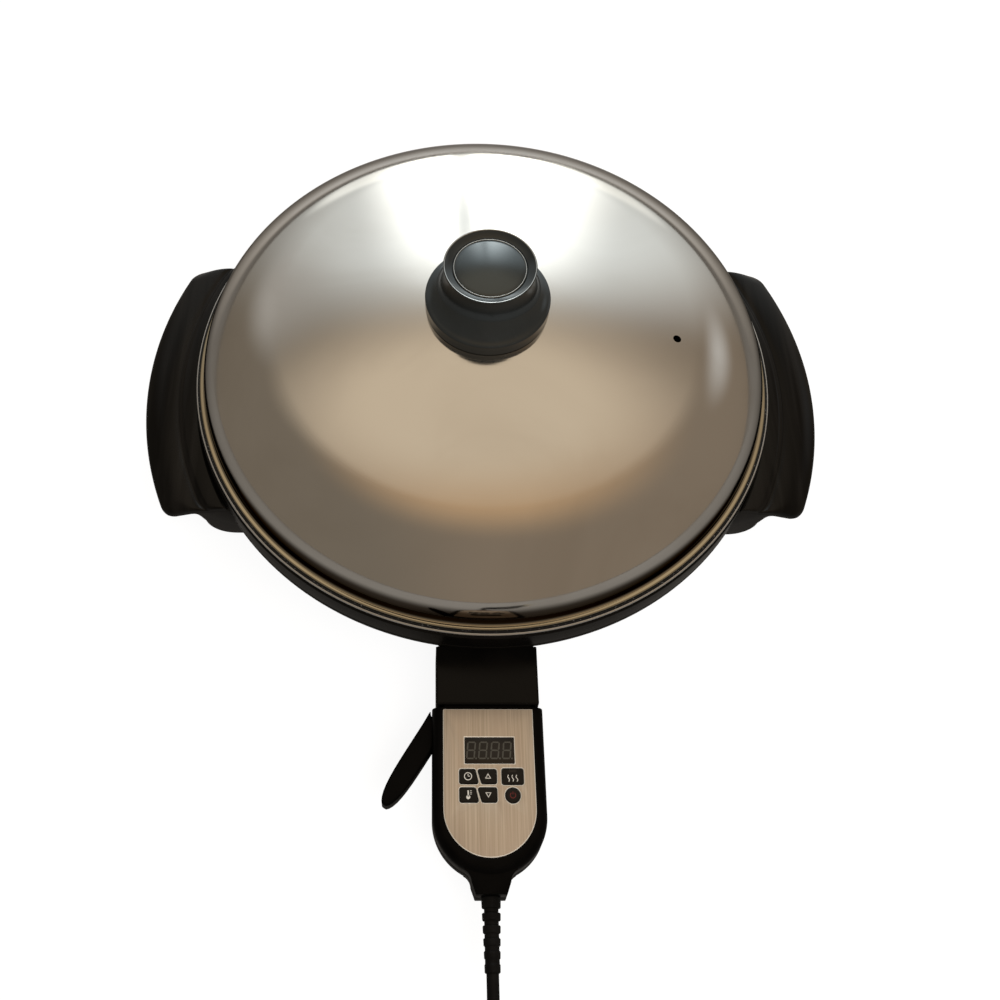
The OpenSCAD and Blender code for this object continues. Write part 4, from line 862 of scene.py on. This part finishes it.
# Keys: six black caps with rounded corners that stand a little out of the faceplate,
# each with a pale printed sign: a clock, arrows, a thermometer, warm waves and a power mark.
def rounded_outline(corners, r, steps=5):
    outline = []
    count = len(corners)
    for i in range(count):
        here, before, after = (Vector(corners[k]) for k in (i, i - 1, (i + 1) % count))
        back, on = (before - here).normalized(), (after - here).normalized()
        half = back.angle(on) / 2
        centre = here + (back + on).normalized() * (r / math.sin(half))
        first = here + back * (r / math.tan(half)) - centre
        last = here + on * (r / math.tan(half)) - centre
        turn = first.angle_signed(last)
        for k in range(steps + 1):
            a = -turn * k / steps
            outline.append((centre.x + first.x * math.cos(a) - first.y * math.sin(a),
                            centre.y + first.x * math.sin(a) + first.y * math.cos(a)))
    return outline


def key_cap(name, outline, low, high, edge=0.45, steps=4):
    middle = Vector((sum(p[0] for p in outline), sum(p[1] for p in outline))) / len(outline)
    reach = min((Vector(p) - middle).length for p in outline)
    levels = [(low, 0.0), (high - edge, 0.0)]
    levels += [(high - edge + edge * math.sin(a), edge * (1 - math.cos(a)))
               for a in [math.pi / 2 * k / steps for k in range(1, steps + 1)]]
    bm = bmesh.new()
    rings = []
    for z, inset in levels:
        ring = []
        for i, p in enumerate(outline):
            along = (Vector(outline[(i + 1) % len(outline)]) - Vector(outline[i - 1])).normalized()
            inward = Vector((-along.y, along.x))
            if inward.dot(middle - Vector(p)) < 0:
                inward = -inward
            spot = Vector(p) + inward * min(inset, reach)
            ring.append(bm.verts.new((spot.x * mm, spot.y * mm, z * mm)))
        rings.append(ring)
    skin(bm, rings)
    bmesh.ops.recalc_face_normals(bm, faces=bm.faces)
    return object_from(bm, name, 40.0)


def ring_mark(centre, r, width, first=0.0, last=360.0, count=32):
    marks = []
    for k in range(count):
        a, b = (math.radians(first + (last - first) * i / count) for i in (k, k + 1))
        corners = ((r, a), (r, b), (r - width, b), (r - width, a))
        marks.append([(centre[0] + q * math.cos(t), centre[1] + q * math.sin(t)) for q, t in corners])
    return marks


def line_mark(p, q, width):
    a, b = Vector(p), Vector(q)
    along = (b - a).normalized()
    across = Vector((-along.y, along.x)) * width / 2
    return [tuple(a + across), tuple(b + across), tuple(b - across), tuple(a - across)]


def triangle_mark(centre, r, width, up):
    turns = [math.radians(90 * up + 120 * k) for k in range(3)]
    outer, inner = ([(centre[0] + q * math.cos(a), centre[1] + q * math.sin(a)) for a in turns]
                    for q in (r, r - 2 * width))
    return [[outer[k - 1], outer[k], inner[k], inner[k - 1]] for k in range(3)]


def offset(centre, x, y):
    return (centre[0] + x, centre[1] + y)


key_black = moulded("key_cap_black", (0.0034, 0.0027, 0.0023), (0.0052, 0.0041, 0.0034), 70, 2000, (0.26, 0.36),
                    0.06, specular=0.25)
sign_white = moulded("printed_white", (0.66, 0.63, 0.57), (0.56, 0.53, 0.48), 400, 2500, (0.45, 0.6), 0.05)
sign_red = moulded("printed_red", (0.16, 0.018, 0.016), (0.12, 0.014, 0.013), 400, 2500, (0.4, 0.55), 0.05)
key_low, key_top, key_half, ink_sunk = 38.4, 44.3, 4.45, 0.02
row_1, row_2 = probe_front - 44.4, probe_front - 55.7


def left_key(row):
    return [(-18.7, row + key_half), (-9.0, row + key_half), (-6.8, row - key_half), (-18.7, row - key_half)]


def middle_key(row):
    return [(-7.5, row + key_half), (4.5, row + key_half), (4.5, row - key_half), (-4.7, row - key_half)]


time_c, heat_c, warm_c, power_c = (-13.4, row_1), (-13.4, row_2), (14.7, row_1), (14.5, probe_front - 56.0)
clock = ring_mark(time_c, 2.5, 0.5)
clock += [line_mark(time_c, offset(time_c, *hand), 0.45) for hand in ((0, 1.6), (1.2, 0))]
thermometer = ring_mark(offset(heat_c, 0, -1.5), 1.25, 1.25)
thermometer += [line_mark(offset(heat_c, 0, -1.2), offset(heat_c, 0, 2.6), 0.9)]
thermometer += [line_mark(offset(heat_c, 1.2, d), offset(heat_c, 2.2, d), 0.35) for d in (0.4, 1.4, 2.4)]
warm_waves = []
wave_steps, wave_swing, wave_low, wave_h = 8, 0.55, -3.2, 4.0
for x in (-2.6, 0.0, 2.6):
    shares = [t / wave_steps for t in range(wave_steps + 1)]
    waves = [offset(warm_c, x + wave_swing * math.sin(2 * math.pi * s), wave_low + wave_h * s) for s in shares]
    warm_waves += [line_mark(p, q, 0.5) for p, q in zip(waves, waves[1:])]
lamp_corners = [offset(warm_c, x, y) for x, y in ((-2.4, 3.9), (2.4, 3.9), (2.4, 2.5), (-2.4, 2.5))]
warm_lamp = rounded_outline(lamp_corners, 0.3)
power_mark = ring_mark(power_c, 1.9, 0.4, 125, 415, 28)
power_mark += [line_mark(offset(power_c, 0, 0.5), offset(power_c, 0, 2.3), 0.4)]
corner_r, power_r, warm_back, warm_front = 1.2, 4.6, row_1 + 4.9, row_1 - 4.9
warm_corners = [(8.0, warm_back), (21.4, warm_back), (21.4, warm_front), (8.0, warm_front)]
power_outline = arc(power_c, power_r, 0, -352.5, 47)
up_arrow = triangle_mark((-0.8, row_1 - 0.3), 2.2, 0.4, 1)
down_arrow = triangle_mark((-0.8, row_2 + 0.3), 2.2, 0.4, -1)
key_jobs = [
    ("time_key", "key_time", rounded_outline(left_key(row_1), corner_r), clock, sign_white),
    ("up_key", "key_up", rounded_outline(middle_key(row_1), corner_r), up_arrow, sign_white),
    ("temperature_key", "key_temperature", rounded_outline(left_key(row_2), corner_r), thermometer, sign_white),
    ("down_key", "key_down", rounded_outline(middle_key(row_2), corner_r), down_arrow, sign_white),
    ("warm_key", "key_warm", rounded_outline(warm_corners, corner_r), warm_waves, sign_white),
    ("power_key", "key_power", power_outline, power_mark, sign_red),
]
for node, body, outline, marks, ink in key_jobs:
    dress(key_cap(node + "_cap", outline, key_low, key_top), key_black, body, "key_black", node)
    dress(flat_marks(node + "_sign", marks, key_top - ink_sunk, 0.05), ink, body, "key_black")
dress(flat_marks("warm_key_lamp", [warm_lamp], key_top - ink_sunk, 0.04), window_glass, "key_warm", "key_black")

# Release lever: a blunt black plastic blade on a steel pin at the probe's front corner,
# squeezed towards the case to push the probe out of its socket.
lever_pivot = Vector((-29.0, -247.5))
lever = rounded_copy("release_lever", "release_blade", 1.8, 5,
                     where=lambda p: (Vector((p.x, p.y)) - lever_pivot).length > 3.0)
dress(lever, case_black, "lever", "black_case", "release_lever")

# Strain relief: a tapered black rubber sleeve with ring grooves, held in the neck of the case.
boot_y, boot_z, boot_len, groove_n, boot_r, boot_taper, groove_r = -352.0, 29.0, 42.0, 5, 6.0, 1.35, 4.4
boot_line = [(0.0, -5.5), (6.5, -5.5), (6.8, -5.2), (6.8, -2.9), (4.6, -2.7), (4.6, 0.0), (5.6, 0.0),
             (boot_r, 0.4)]
groove = boot_len / (2 * groove_n + 2)
for n in range(1, groove_n + 1):
    start = groove * (2 * n - 0.2)
    stop = start + 0.8 * groove
    r_start, r_stop = (boot_r - boot_taper * s / boot_len for s in (start, stop))
    boot_line += [(r_start, start - 0.4), (r_start - 0.3, start), (groove_r, start + 0.25)]
    boot_line += [(groove_r, stop - 0.25), (r_stop - 0.3, stop), (r_stop, stop + 0.4)]
boot_line += [(4.75, boot_len - 0.6), (4.3, boot_len), (0.0, boot_len)]
boot = turned("strain_relief_sleeve", boot_line, 64, 40.0)
boot.data.transform(Matrix.Translation((0, boot_y * mm, boot_z * mm)) @ Matrix.Rotation(math.pi / 2, 4, "X"))
dress(boot, lead_black, "probe", "cord_black", "strain_relief")
